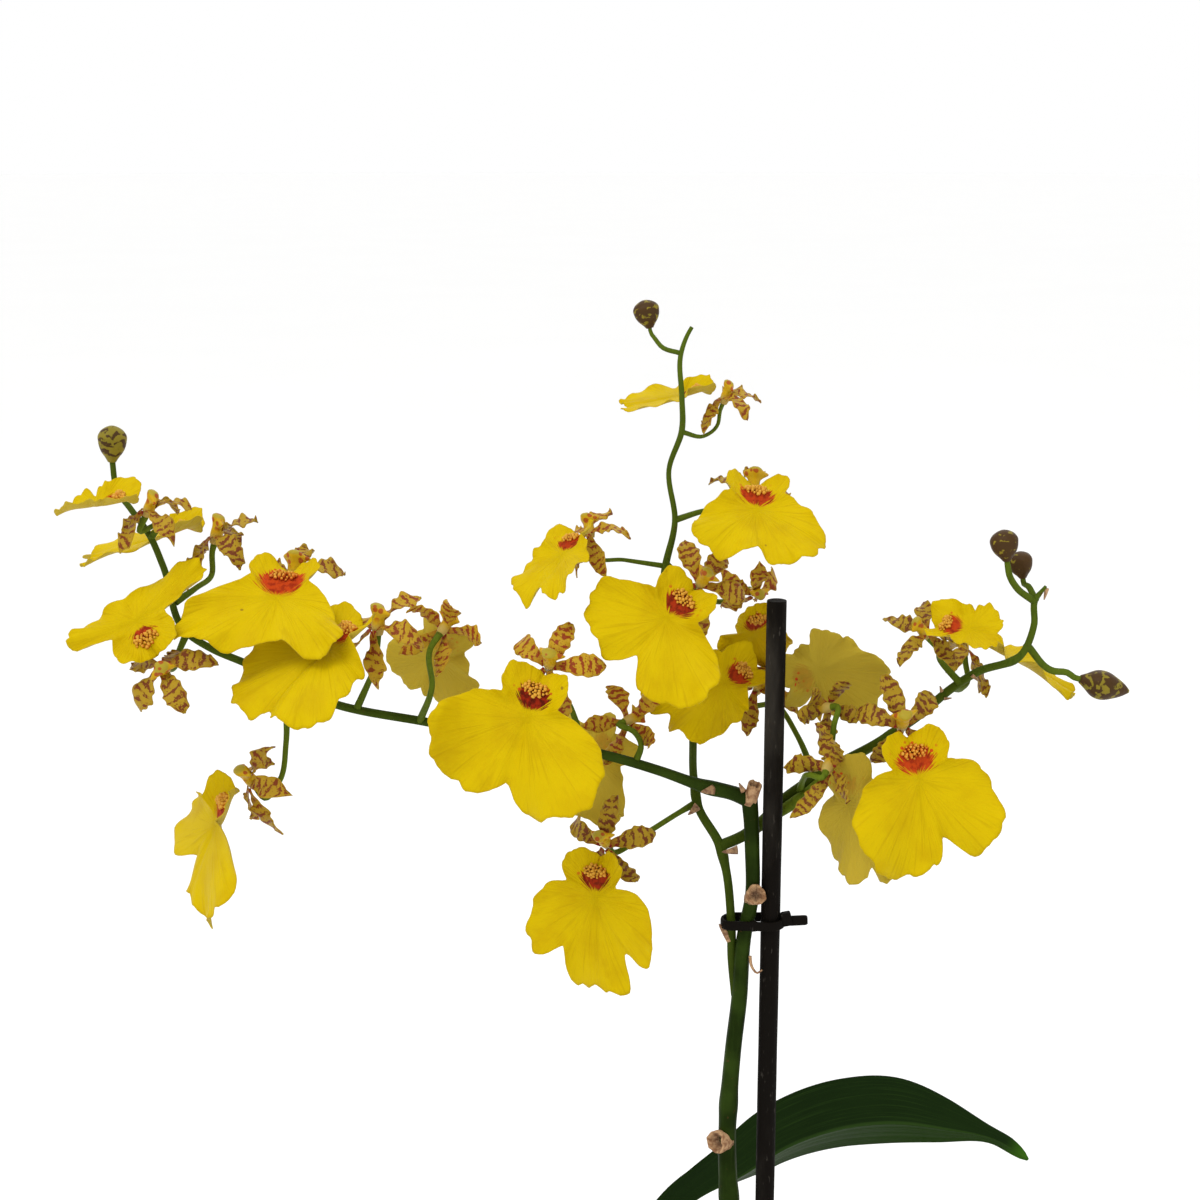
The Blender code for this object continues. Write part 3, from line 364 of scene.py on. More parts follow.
def makeColumnMaterial():
    look = {"yellow": (0.50, 0.30, 0.004), "cap": (0.36, 0.27, 0.020), "red": (0.32, 0.04, 0.008),
            "foot": (0.46, 0.33, 0.08)}
    material = startMaterial("columnYellow", 0.42, Subsurface_Weight=0.08, Subsurface_Scale=0.001,
                             Specular_IOR_Level=0.12)
    share = fields(material, "alongShare")[0]
    place = objectPlace(material)
    dots = cells(place, 660.0).step(0.30, 0.42, 1.0, 0.0) * share.step(0.35, 0.6, 0.0, 0.85)
    colour = layered(look["foot"], (share.step(0.1, 0.45), look["yellow"]),
                     (share.step(0.84, 0.93), look["cap"]), (dots, look["red"]))
    return finishMaterial(material, colour, noise(place, 1500.0), 0.3, 0.0003)


def makeCallusMaterial():
    look = {"red": (0.30, 0.022, 0.006), "orange": (0.54, 0.13, 0.010), "yellow": (0.64, 0.33, 0.035)}
    material = startMaterial("callusWarts", 0.4, Specular_IOR_Level=0.18)
    place = objectPlace(material)
    lift = fields(material, "lift")[0] + (noise(place, 1100.0) - 0.5) * 1.1
    colour = layered(look["red"], (lift.step(0.25, 0.65), look["orange"]),
                     (lift.step(0.62, 0.95), look["yellow"]))
    return finishMaterial(material, colour, noise(place, 2200.0), 0.4, 0.0003)


def makeStemMaterial():
    look = {"old": (0.006, 0.014, 0.002), "oldLight": (0.020, 0.040, 0.005), "young": (0.12, 0.17, 0.012),
            "brown": (0.07, 0.035, 0.012)}
    material = startMaterial("stemGreen", 0.45, Specular_IOR_Level=0.02)
    young = fields(material, "young")[0]
    place = objectPlace(material)
    fibres = noise(stretched(place, 0.12), 1500.0, 4.0)
    specks = noise(place, 900.0, 2.0).step(0.68, 0.74, 0.0, 0.6)
    colour = layered(look["old"], (noise(place, 120.0, 4.0).step(0.35, 0.7), look["oldLight"]),
                     (young, look["young"]), (fibres.step(0.45, 0.75, 0.0, 0.35), look["oldLight"]),
                     (specks, look["brown"]))
    return finishMaterial(material, colour, fibres + noise(place, 600.0) * 0.6, 0.35, 0.0003)


def makeDryMaterial(name, look, roughness):
    # cut ends and papery scales: tan with brown mottling and fibres, darker where hollow is high
    material = startMaterial(name, roughness)
    place = objectPlace(material)
    colour = layered(look["tan"], (noise(place, 900.0, 5.0, 0.5).step(0.36, 0.66), look["brown"]),
                     (fields(material, "hollow")[0], look["dark"]))
    return finishMaterial(material, colour, noise(place, 1700.0, 4.0), 0.8, 0.0006)


def makeBudMaterial():
    look = {"olive": (0.26, 0.19, 0.016), "green": (0.15, 0.13, 0.013), "brown": (0.045, 0.017, 0.007)}
    material = startMaterial("budNetted", 0.45, Specular_IOR_Level=0.1)
    along, around, seed, brown = fields(material, "alongShare", "aroundShare", "seed", "brown")
    place = objectPlace(material)
    bands = (along * 22.0 + noise(place, 420.0) * 16.0).sine() + brown * 1.6
    net = (bands + (noise(place, 620.0, 4.0, 0.8) - 0.5) * 6.0).step(-0.25, 0.35)
    patches = noise(threeWay(along * 4.0, around * 3.0, seed), 1.2)
    colour = layered(look["green"], (patches, look["olive"]), (net * 0.92, look["brown"]))
    return finishMaterial(material, colour, noise(place, 1400.0), 0.35, 0.0003)


def makeLeafMaterial():
    look = {"dark": (0.0045, 0.013, 0.002), "green": (0.017, 0.042, 0.006), "tip": (0.035, 0.11, 0.006),
            "rib": (0.030, 0.068, 0.010), "foot": (0.055, 0.11, 0.018)}
    material = startMaterial("leafGreen", 0.42, Specular_IOR_Level=0.03)
    along, across = fields(material, "alongShare", "acrossShare")
    lines = noise(threeWay(along * 5.0, across * 34.0, 0.0), 1.0)
    clouds = noise(objectPlace(material), 55.0)
    # painted light and shade: the half of each blade on the negative side of the midrib is painted light
    # green and the other half is left dark green, alike on both faces, with random clouds of green over both
    colour = layered(look["dark"],
                     (across.step(-0.03, 0.03, 1.0, 0.0) * 0.8 + clouds * 0.4, look["green"]),
                     (lines.step(0.5, 0.75, 0.0, 0.35), look["rib"]),
                     (across.size().step(0.02, 0.06, 0.5, 0.0), look["rib"]),
                     (along.step(0.90, 0.985), look["tip"]),
                     (along.step(0.0, 0.16, 0.9, 0.0), look["foot"]))
    return finishMaterial(material, colour, lines, 0.3, 0.0004)


def makeBulbMaterial():
    look = {"green": (0.06, 0.13, 0.02), "yellow": (0.17, 0.22, 0.035), "spot": (0.04, 0.04, 0.015)}
    material = startMaterial("bulbGreen", 0.42, Specular_IOR_Level=0.35)
    place = objectPlace(material)
    mixed = noise(place, 70.0, 4.0) * 0.8 + fields(material, "alongShare")[0] * -0.3
    spots = noise(place, 420.0, 2.0).step(0.66, 0.72, 0.0, 0.6)
    colour = layered(look["green"], (mixed.step(0.1, 0.5), look["yellow"]), (spots, look["spot"]))
    return finishMaterial(material, colour, noise(place, 500.0, 4.0), 0.3, 0.0005)


def makeBlackMaterial(name, dust, roughness):
    # black plastic with grey dust that gathers in clouds and specks
    look = {"black": (0.0060, 0.0048, 0.0038), "dust": (0.11, 0.098, 0.080)}
    material = startMaterial(name, roughness, Specular_IOR_Level=0.02)
    place = objectPlace(material)
    drawn = stretched(place, 0.25)
    clouds = noise(drawn, 90.0, 5.0).step(0.50, 0.80, 0.0, 0.5 * dust)
    specks = noise(drawn, 1500.0).step(0.62, 0.72, 0.0, 0.40 * dust)
    dusty = clouds + specks * noise(place, 60.0, 2.0).step(0.4, 0.65)
    colour = layered(look["black"], (dusty, look["dust"]))
    return finishMaterial(material, colour, noise(drawn, 2200.0), 0.5, 0.0003)


def makePotMaterial():
    look = {"clay": (0.33, 0.125, 0.065), "dark": (0.24, 0.085, 0.045), "chalk": (0.45, 0.30, 0.22)}
    material = startMaterial("potPlastic", 0.46)
    place = objectPlace(material)
    colour = layered(look["clay"], (noise(place, 18.0, 4.0).step(0.35, 0.7), look["dark"]),
                     (noise(place, 160.0, 4.0).step(0.62, 0.75, 0.0, 0.35), look["chalk"]))
    return finishMaterial(material, colour, noise(place, 1100.0, 2.0), 0.22, 0.0003)


def makeBarkMaterial(name, look):
    material = startMaterial(name, 0.85)
    place = objectPlace(material)
    colour = layered(look["brown"], (noise(place, 130.0, 4.0).step(0.3, 0.7), look["red"]),
                     (noise(place, 420.0, 5.0).step(0.56, 0.74, 0.0, 0.6), look["pale"]))
    return finishMaterial(material, colour, noise(place, 700.0, 5.0), 0.9, 0.0012)


def makeFloorMaterial():
    look = {"pale": (0.95, 0.95, 0.945), "shade": (0.93, 0.93, 0.925)}
    material = startMaterial("paleFloor", 0.7, Emission_Color=(1, 1, 1), Emission_Strength=0.05)
    return finishMaterial(material, layered(look["pale"], (noise(objectPlace(material), 2.0), look["shade"])))


print("materials")
lipYellow = makeLipMaterial()
tepalStriped = makeTepalMaterial()
columnYellow = makeColumnMaterial()
callusWarts = makeCallusMaterial()
stemGreen = makeStemMaterial()
cutTan = makeDryMaterial("cutTan", {"tan": (0.50, 0.30, 0.15), "brown": (0.24, 0.11, 0.045),
                                    "dark": (0.035, 0.018, 0.010)}, 0.85)
paperScale = makeDryMaterial("paperScale", {"tan": (0.46, 0.27, 0.13), "brown": (0.20, 0.09, 0.04),
                                            "dark": (0.05, 0.03, 0.02)}, 0.7)
budNetted = makeBudMaterial()
leafGreen = makeLeafMaterial()
bulbGreen = makeBulbMaterial()
stakeBlack = makeBlackMaterial("stakeBlack", 1.0, 0.55)
tieBlack = makeBlackMaterial("tieBlack", 0.5, 0.5)
potPlastic = makePotMaterial()
barkBed = makeBarkMaterial("barkBed", {"brown": (0.035, 0.018, 0.010), "red": (0.08, 0.035, 0.016),
                                       "pale": (0.15, 0.08, 0.04)})
barkChip = makeBarkMaterial("barkChip", {"brown": (0.085, 0.038, 0.018), "red": (0.17, 0.075, 0.032),
                                         "pale": (0.34, 0.20, 0.10)})


# Blooms: where the callus is seen and its depth, how the lip hangs (degrees from straight down
# towards the left), leans towards the eye and turns, and its size; tone runs from yellow
# tepals with orange bands to olive tepals with dark bands, and mark from a vermilion patch
# under the callus to a dark red one
blooms = {
    "bloom_01": dict(callus=(119, 500), depth=-8, hang=84, lean=5, turn=-66, size=0.85, wide=0.42,
                     long=0.48, lobes=(1.0, 0.65), fold=(60, 60), ruffle=0.4, seed=0.3, tone=0.6, mark=0.45),
    "bloom_02": dict(callus=(183, 530), depth=14, hang=75, lean=5, turn=-76, size=0.98, wide=0.5,
                     long=0.9, bend=8, ruffle=0.4, approach=1.5, seed=1.1, tone=0.7, mark=0.45),
    "bloom_03": dict(callus=(147, 640), depth=-16.9, hang=146, lean=-28, turn=-8, size=0.95, long=0.42,
                     lobes=(0.78, 0.95), fold=(5, 5), seed=2.0, tone=0.7, mark=0.5, markSize=0.75),
    "bloom_04": dict(callus=(284, 580), depth=-3.2, hang=14, lean=50, turn=-10, size=1.0,
                     lobes=(0.88, 0.92), long=0.78, droop=2.5, notches=((-12, 0.12),), seed=3.1,
                     tone=0.7, mark=0.1, markSize=1.35),
    "bloom_05": dict(callus=(348, 632), depth=-12, hang=52, lean=25, turn=-55, size=1.0, fold=(-30, 10),
                     wide=0.8, long=1.12, lobes=(0.85, 1.0), seed=4.0, tone=0.4, mark=0.4),
    "bloom_06": dict(callus=(442, 640), depth=10, hang=25, lean=-38, turn=172, size=0.85, wide=0.66,
                     long=0.7, seed=5.2, tone=0.05, mark=0.4),
    "bloom_07": dict(callus=(536, 691), depth=-18, hang=20, lean=5, turn=-12, size=0.98, fold=(8, 25),
                     lobes=(1.05, 1.0), seed=6.1, tone=0.1, mark=1.0),
    "bloom_08": dict(callus=(608, 742), depth=9, hang=47, lean=-20, turn=160, size=0.85, wide=0.9,
                     long=0.7, hub=(627, 722), approach=1.5, seed=0.9, tone=0.1, mark=0.4),
    "bloom_09": dict(callus=(226, 803), depth=-4, hang=28, lean=-8, turn=-58, size=0.98, fold=(0, 0),
                     notches=((30, 0.45),), seed=1.7, tone=0.45, mark=0.5),
    "bloom_10": dict(callus=(597, 872), depth=-8, hang=5, lean=0, turn=-25, size=0.95,
                     notches=((-43, 0.36), (38, 0.42)), long=1.2, wide=0.82, seed=2.8, tone=0.8, mark=0.8),
    "bloom_11": dict(callus=(683, 600), depth=-12, hang=42, lean=10, turn=-10, size=0.92,
                     notches=((-2, 0.3),), long=0.88, lobes=(0.98, 0.86), seed=3.6, tone=0.5, mark=0.7),
    "bloom_12": dict(callus=(744, 673), depth=8.5, hang=66, lean=12, turn=-38, size=0.9,
                     lobes=(0.85, 1.0), wide=0.85, hub=(756, 688), hubDepth=13, seed=4.6, tone=0.5, mark=0.5),
    "bloom_13": dict(callus=(756, 618), depth=14, hang=5, lean=-35, turn=20, size=0.8, wide=0.6,
                     long=0.7, seed=5.7, tone=0.3, mark=0.6),
    "bloom_14": dict(callus=(799, 681), depth=6, hang=-119, lean=-12, turn=165, size=0.86, wide=0.8,
                     long=0.78, lobes=(1.15, 0.6), hub=(829, 706), hubDepth=0.5, approach=1.5, reach=0.72,
                     seed=0.2, tone=0.8, mark=0.5),
    "bloom_15": dict(callus=(913, 753), depth=-16, hang=-12, lean=5, turn=8, size=0.97,
                     notches=((-19, 0.36),), wide=0.84, long=1.1, seed=1.4, tone=0.8, mark=0.15,
                     markSize=1.15),
    "bloom_16": dict(callus=(842, 780), depth=-6, hang=-22, lean=5, turn=135, size=0.92, wide=0.76,
                     long=1.05, lobes=(0.85, 1.0), hub=(830, 770), hubDepth=-10, approach=1.5, seed=2.5,
                     tone=0.75, mark=0.5),
    "bloom_17": dict(callus=(947, 626), depth=-6, hang=-84, lean=25, turn=45, size=0.8, fold=(30, 30),
                     lobes=(0.9, 1.0), wide=0.45, long=0.48, ruffle=0.4, seed=3.9, tone=0.85, mark=0.3,
                     curl=0.5),
    "bloom_18": dict(callus=(990, 648), depth=15, hang=-68, lean=5, turn=78, size=0.85, wide=0.6,
                     hub=(967, 650), approach=1.5, seed=4.9, tone=0.8, mark=0.5),
    "bloom_19": dict(callus=(697, 392), depth=9, hang=80, lean=0, turn=-72, size=0.75, wide=0.6,
                     long=0.85, bend=4, ruffle=0.2, hub=(722, 398), approach=1.5, seed=5.3, tone=0.5,
                     mark=0.5),
    "bloom_20": dict(callus=(756, 494), depth=-2, hang=3, lean=50, turn=3, size=0.92, long=0.82,
                     lobes=(0.92, 0.9), wide=0.85, droop=2.0, seed=0.6, tone=0.7, mark=0.35, markSize=1.1),
    "bloom_21": dict(callus=(572, 541), depth=-2, hang=36, lean=42, turn=-55, size=0.8, wide=0.6,
                     long=0.9, lobes=(0.9, 0.95), hub=(588, 533), seed=1.9, tone=0.3, mark=0.5),
}


def flowerFrame(bloom):
    # unit vectors to the flower's right, down its lip and out of its face, and its main places
    hang, lean, turn = np.radians([bloom[key] for key in ("hang", "lean", "turn")])
    down = np.array([0, -np.cos(lean), np.sin(lean)])
    face = np.array([np.sin(turn), np.cos(turn) * np.sin(lean), np.cos(turn) * np.cos(lean)])
    spin = np.array([[np.cos(hang), np.sin(hang), 0], [-np.sin(hang), np.cos(hang), 0], [0, 0, 1]])
    picture = np.stack([rightWay, upWay, backWay])
    down, face = spin @ down @ picture, spin @ face @ picture
    size = bloom["size"] * mm
    callus = seen([*bloom["callus"], bloom["depth"]])[0]
    hub = callus - size * (lipShape["neck"] * down + lipShape["callusBack"] * face)
    if "hub" in bloom:
        hub = seen([*bloom["hub"], bloom.get("hubDepth", hub[1] / mm)])[0]
    return {"across": np.cross(face, -down), "down": down, "face": face, "size": size, "hub": hub,
            "waist": callus + size * lipShape["waist"] * down}


def placed(bloom, spots, origin):
    # flat flower places (right, down, front) in millimetres, set in the flower's own frame
    where = flowerFrame(bloom)
    axes = np.stack([where["across"], where["down"], where["face"]])
    return where[origin] + where["size"] * spots @ axes


# The lip's outline is degrees from its tip and reach from its waist in millimetres; each frill is
# its waves round the rim, its share of the seed and its height
lipShape = {
    "outline": ((0, 16.5), (20, 19.5), (40, 21), (60, 21), (80, 18), (95, 13), (108, 8.6), (118, 6.8),
                (130, 9), (150, 11.2), (165, 10.6), (180, 9.0)),
    "waist": 5.5, "waistAngle": 118, "waistFade": 30, "neck": 5.5,
    "callusBack": 3.0, "callusRise": 1.3, "callusReach": 2.6,
    "ruffle": 1.3, "waves": 7, "rimRuffle": 0.55, "rimWaves": 17, "frill": 0.013,
    "frills": ((37, 3, 0.5), (61, 7, 0.3), (11, 5, 1.7), (23, 2, 1.2)),
    "ears": 3.0, "clawDip": 1.6, "groove": 0.55, "grooveHalf": 1.1, "bend": 25, "notch": ((0, 0.12),),
    "notchWidth": 7, "fold": (8, 8), "foldStart": 1.5, "foldReach": 12, "thick": 0.34,
    "markOval": (3.3, 2.5), "markDown": 1.3, "steps": 176, "rings": 26,
}


def bladeShare(angle):
    # 1 on the lip's blade, falling to 0 at its waist
    return np.clip((lipShape["waistAngle"] - np.abs(angle)) / lipShape["waistFade"], 0, 1)


def lipReach(angle, bloom):
    # how far the lip's rim stands from its waist: the outline, one lobe larger, notches cut in
    turn = np.abs(angle)
    reach = smoothValue(turn, lipShape["outline"])
    left, right = bloom.get("lobes", (1, 1))
    lobe = np.where(angle < 0, left, right) - 1
    reach = reach * (1 + lobe * bladeShare(angle) * np.clip(turn / lipShape["waistFade"], 0, 1))
    for place, depth in bloom.get("notches", lipShape["notch"]):
        reach = reach * (1 - depth * np.exp(-0.5 * ((angle - place) / lipShape["notchWidth"]) ** 2))
    return reach


def lipSurface(angle, ring, bloom):
    # a disc about the waist, its rim frilled and waved, ears and callus raised, the halves folded
    # and the tip bent back
    seed = bloom["seed"]
    around = np.radians(angle)
    blade = bladeShare(angle)
    frill = sum(high * np.sin(waves * around + shift * seed) for waves, shift, high in lipShape["frills"])
    reach = lipReach(angle, bloom) * (1 + lipShape["frill"] * frill * ring**5)
    x = ring * reach * np.sin(around) * (1 + (bloom.get("wide", 1) - 1) * blade)
    y = ring * reach * np.cos(around) * (1 + (bloom.get("long", 1) - 1) * blade)
    y = y + bloom.get("droop", 0) * (x / 10) ** 2 * blade
    sideMm, downMm = x, y + lipShape["waist"]
    soft = np.clip((np.cos(around) + 0.5) / 0.5, 0, 1)
    soft = soft * soft * (3 - 2 * soft)
    z = bloom.get("ruffle", lipShape["ruffle"]) * soft * ring**3 * np.sin(lipShape["waves"] * around + seed)
    z = z + lipShape["rimRuffle"] * ring**9 * (0.35 + 0.65 * soft) * np.sin(
        lipShape["rimWaves"] * around + 2 * seed + 2 * np.sin(3 * around + seed))
    groove = lipShape["groove"] * np.exp(-(x / lipShape["grooveHalf"]) ** 2)
    z = z - groove * soft * np.clip(y / 3, 0, 1) * np.clip(3 * (1 - ring), 0, 1)
    ear = np.clip(np.abs(x) / 5, 0, 1)
    z = z + (1 - soft) * ring**2 * (lipShape["ears"] * ear - lipShape["clawDip"] * (1 - ear))
    fromCallus = np.hypot(sideMm, downMm) / lipShape["callusReach"]
    z = z + lipShape["callusRise"] * np.exp(-(fromCallus**2))
    off = np.sqrt(x * x + lipShape["foldStart"] ** 2) - lipShape["foldStart"]
    left, right = bloom.get("fold", lipShape["fold"])
    fold = np.radians(np.where(x > 0, right, left)) * soft * np.clip(off / lipShape["foldReach"], 0, 1.3)
    z = z + off * np.sin(fold)
    x = np.sign(x) * (np.abs(x) - off + off * np.cos(fold))
    bend = np.radians(bloom.get("bend", lipShape["bend"])) / 20
    ahead = np.maximum(y, 0)
    z = z - (1 - np.cos(bend * ahead)) / bend
    y = np.where(y > 0, np.sin(bend * ahead) / bend, y)
    return xyz(x, y, z), sideMm, downMm


def lipBody(bloom):
    # the surface on a grid of rings and angles, a second one behind it, both joined at the rim
    steps, rings = lipShape["steps"], lipShape["rings"]
    angle = np.linspace(-180, 180, steps, endpoint=False) * np.ones((rings, 1))
    ring = (np.linspace(0, 1, rings) ** 0.85)[:, None] * np.ones(steps)
    front, sideMm, downMm = lipSurface(angle, ring, bloom)
    outward = front[2:] - front[:-2]
    outward = np.concatenate([outward[:1], outward, outward[-1:]])
    around = np.roll(front, -1, axis=1) - np.roll(front, 1, axis=1)
    normal = np.cross(outward, around)
    normal[0] = normal[2].mean(axis=0)
    normal[1] = normal[2]
    normal = unit(normal)
    normal *= np.sign(normal[..., 2].mean())
    thick = lipShape["thick"] * np.interp(ring, [0, 0.9, 1], [1, 0.8, 0.35])[..., None]
    sheets = np.concatenate([front, (front - thick * normal)[::-1]])
    large = bloom.get("markSize", 1)
    wide, tall = lipShape["markOval"]
    span = np.hypot(sideMm / (wide * large), (downMm - lipShape["markDown"]) / (tall * large))
    body = {"points": placed(bloom, sheets.reshape(-1, 3), "waist"), "faces": gridFaces(2 * rings, steps),
            "back": np.repeat([0.0, 1.0], rings * steps)}
    for name, field in {"markSpan": span, "downMm": downMm, "turnShare": angle / 360, "ring": ring}.items():
        body[name] = np.concatenate([field, field[::-1]]).ravel()
    for name in ("seed", "mark"):
        body[name] = np.full(len(body["points"]), bloom[name])
    return body


warts = {"count": 30, "half": (2.7, 1.55), "middle": -0.25, "girth": (0.26, 0.46), "tall": (0.7, 1.9),
         "sides": 10, "rings": 8}


def wartPlaces(seed):
    # side, down, half width and height in millimetres: a sunflower spiral squeezed to an oval,
    # with the tallest warts in the middle
    number = np.arange(warts["count"])
    share = np.sqrt((number + 0.4) / warts["count"])
    heading = number * np.pi * (3 - np.sqrt(5)) + 2 * seed
    sway = np.sin(7.3 * number + 5 * seed)
    thin, thick = warts["girth"]
    low, high = warts["tall"]
    side, down = (warts["half"][0] * share * np.cos(heading), warts["half"][1] * share * np.sin(heading))
    return (side, warts["middle"] + down, thin + (thick - thin) * (0.5 + 0.5 * sway),
            high + (low - high) * share**1.5 + 0.2 * sway)


def wartBodies(bloom):
    # each wart is an egg with three soft ribs on the lip's surface
    side, down, girth, tall = wartPlaces(bloom["seed"])
    y = down - lipShape["waist"]
    angle = np.degrees(np.arctan2(side, y))
    ring = np.hypot(side, y) / lipReach(angle, bloom)
    foot = lipSurface(angle, ring, bloom)[0]
    side, girth, tall = (values[:, None, None] for values in (side, girth, tall))
    up = np.linspace(0, np.pi, warts["rings"])[:, None]
    around = circle(warts["sides"])
    reach = girth * np.sin(up) * (1 + 0.12 * np.sin(3 * around + 5 * side))
    height = 0.5 * tall * (0.6 - np.cos(up))
    spots = foot[:, None, None] + xyz(reach * np.cos(around), reach * np.sin(around), height)
    lift = np.clip(height / tall + (0.1 if bloom["mark"] < 0.3 else 0.45), 0, 1)
    return [closedBody(placed(bloom, spot.reshape(-1, 3), "waist").reshape(spot.shape), lift=share)
            for spot, share in zip(spots, lift)]


# Tepals: degrees from the top towards the flower's right, length and half width in
# millimetres, first rise, curl back and ripple
tepals = {
    "dorsal": dict(angle=0, length=10.5, half=2.2, rise=30, curl=70, ripple=0.0),
    "petalRight": dict(angle=62, length=11.5, half=2.2, rise=20, curl=95, ripple=1.0),
    "petalLeft": dict(angle=-62, length=11.5, half=2.2, rise=20, curl=95, ripple=2.1),
    "sepalRight": dict(angle=140, length=12.0, half=2.0, rise=-30, curl=30, ripple=3.3),
    "sepalLeft": dict(angle=-140, length=12.0, half=2.0, rise=-30, curl=30, ripple=4.2),
}
tepalShape = {"root": 0.9, "wave": 0.9, "edgeWave": 0.42, "keel": 0.35, "thick": 0.34, "rows": 30,
              "columns": 9,
              "width": ((0, 0.30), (0.2, 0.52), (0.45, 1.0), (0.7, 1.02), (0.88, 0.62), (1, 0.12))}


def tepalBody(tepal, bloom):
    # the middle is an arc that rises and curls back; across it the blade is keeled and its edges
    # wave; a second sheet lies behind it
    vary = bloom["seed"] * 2 + tepal["ripple"]
    turn = np.radians(tepal["angle"] + 7 * np.sin(3 * vary))
    length = tepal["length"] * bloom.get("reach", 1) * (1 + 0.08 * np.sin(5 * vary))
    rise = np.radians(tepal["rise"] + 8 * np.sin(4 * vary))
    curl = np.radians(tepal["curl"] * bloom.get("curl", 1) * (1 + 0.2 * np.sin(2 * vary)))
    s = np.linspace(0, 1, tepalShape["rows"])[:, None]
    t = np.linspace(-1, 1, tepalShape["columns"])[None, :]
    slope = rise - curl * s
    out = tepalShape["root"] + length * (np.sin(rise) - np.sin(slope)) / curl
    lift = length * (np.cos(slope) - np.cos(rise)) / curl
    half = tepal["half"] * smoothValue(s, tepalShape["width"])
    half = half * (1 + 0.07 * np.sin(2 * np.pi * 5.1 * s + vary + np.sign(t)))
    wave = (tepalShape["wave"] * t * np.sin(2 * np.pi * 1.3 * s + vary)
            + tepalShape["edgeWave"] * np.abs(t) ** 3 * np.sin(2 * np.pi * 4.3 * s + 3 * vary + t)
            - tepalShape["keel"] * (1 - t * t))
    x, y = out * np.sin(turn) + half * t * np.cos(turn), half * t * np.sin(turn) - out * np.cos(turn)
    front = xyz(x, y, lift + wave * np.clip(3 * s, 0, 1))
    normal = unit(np.cross(np.gradient(front, axis=0), np.gradient(front, axis=1)))
    normal *= np.sign(normal[..., 2].mean())
    thick = tepalShape["thick"] * (1 - 0.6 * np.abs(t) ** 3)[..., None]
    rings = twoSheets(front, thick / 2 * normal)
    spots = placed(bloom, rings.reshape(-1, 3), "hub").reshape(rings.shape)
    return closedBody(spots, alongMm=s * length, acrossShare=twoSheets(t, 0), alongShare=s,
                      tone=bloom["tone"], seed=bloom["seed"] + tepal["angle"] / 40)


columnShape = {"length": 7.0, "foot": 1.6, "radius": 1.35, "along": (0, -0.5, 0.87), "nod": 0.9,
               "girth": ((0, 0.75), (0.25, 1.0), (0.6, 0.92), (0.85, 1.05), (0.95, 0.85), (1, 0.45)),
               "wing": 1.15, "wingPlace": 0.70, "wingReach": 0.13, "rows": 22, "sides": 28}


def columnBody(bloom):
    # a short rod that leans back from the lip, with two thin wings and a blunt cap at its end
    s = np.linspace(0, 1, columnShape["rows"])[:, None]
    a = circle(columnShape["sides"])
    along = np.array(columnShape["along"])
    middle = columnShape["length"] * s * along - np.array([0, 0, columnShape["foot"]])
    middle = middle + columnShape["nod"] * s**3 * np.array([0, 1.0, 0])
    girth = columnShape["radius"] * smoothValue(s, columnShape["girth"])
    wing = columnShape["wing"] * np.exp(-((s - columnShape["wingPlace"]) / columnShape["wingReach"]) ** 2)
    wing = wing * np.abs(np.cos(a)) ** 5
    x = girth * np.cos(a) * (1 + wing * (1 + 0.25 * np.sin(9 * s + 4 * np.cos(a))))
    y = girth * np.sin(a) + 0.8 * wing
    spots = about(middle[:, None], x, rightWay, y, np.cross(rightWay, along))
    rings = placed(bloom, spots.reshape(-1, 3), "hub").reshape(spots.shape)
    return closedBody(rings, alongShare=s)


print("blooms")
for number, (node, bloom) in enumerate(blooms.items(), 1):
    putPiece(f"lip{number:02d}", lipBody(bloom), lipYellow, [node + "_lip"])
    putPiece(f"callus{number:02d}", joined(wartBodies(bloom)), callusWarts)
    putPiece(f"tepals{number:02d}", joined([tepalBody(tepal, bloom) for tepal in tepals.values()]),
             tepalStriped, [node + "_petals"])
    putPiece(f"column{number:02d}", columnBody(bloom), columnYellow)


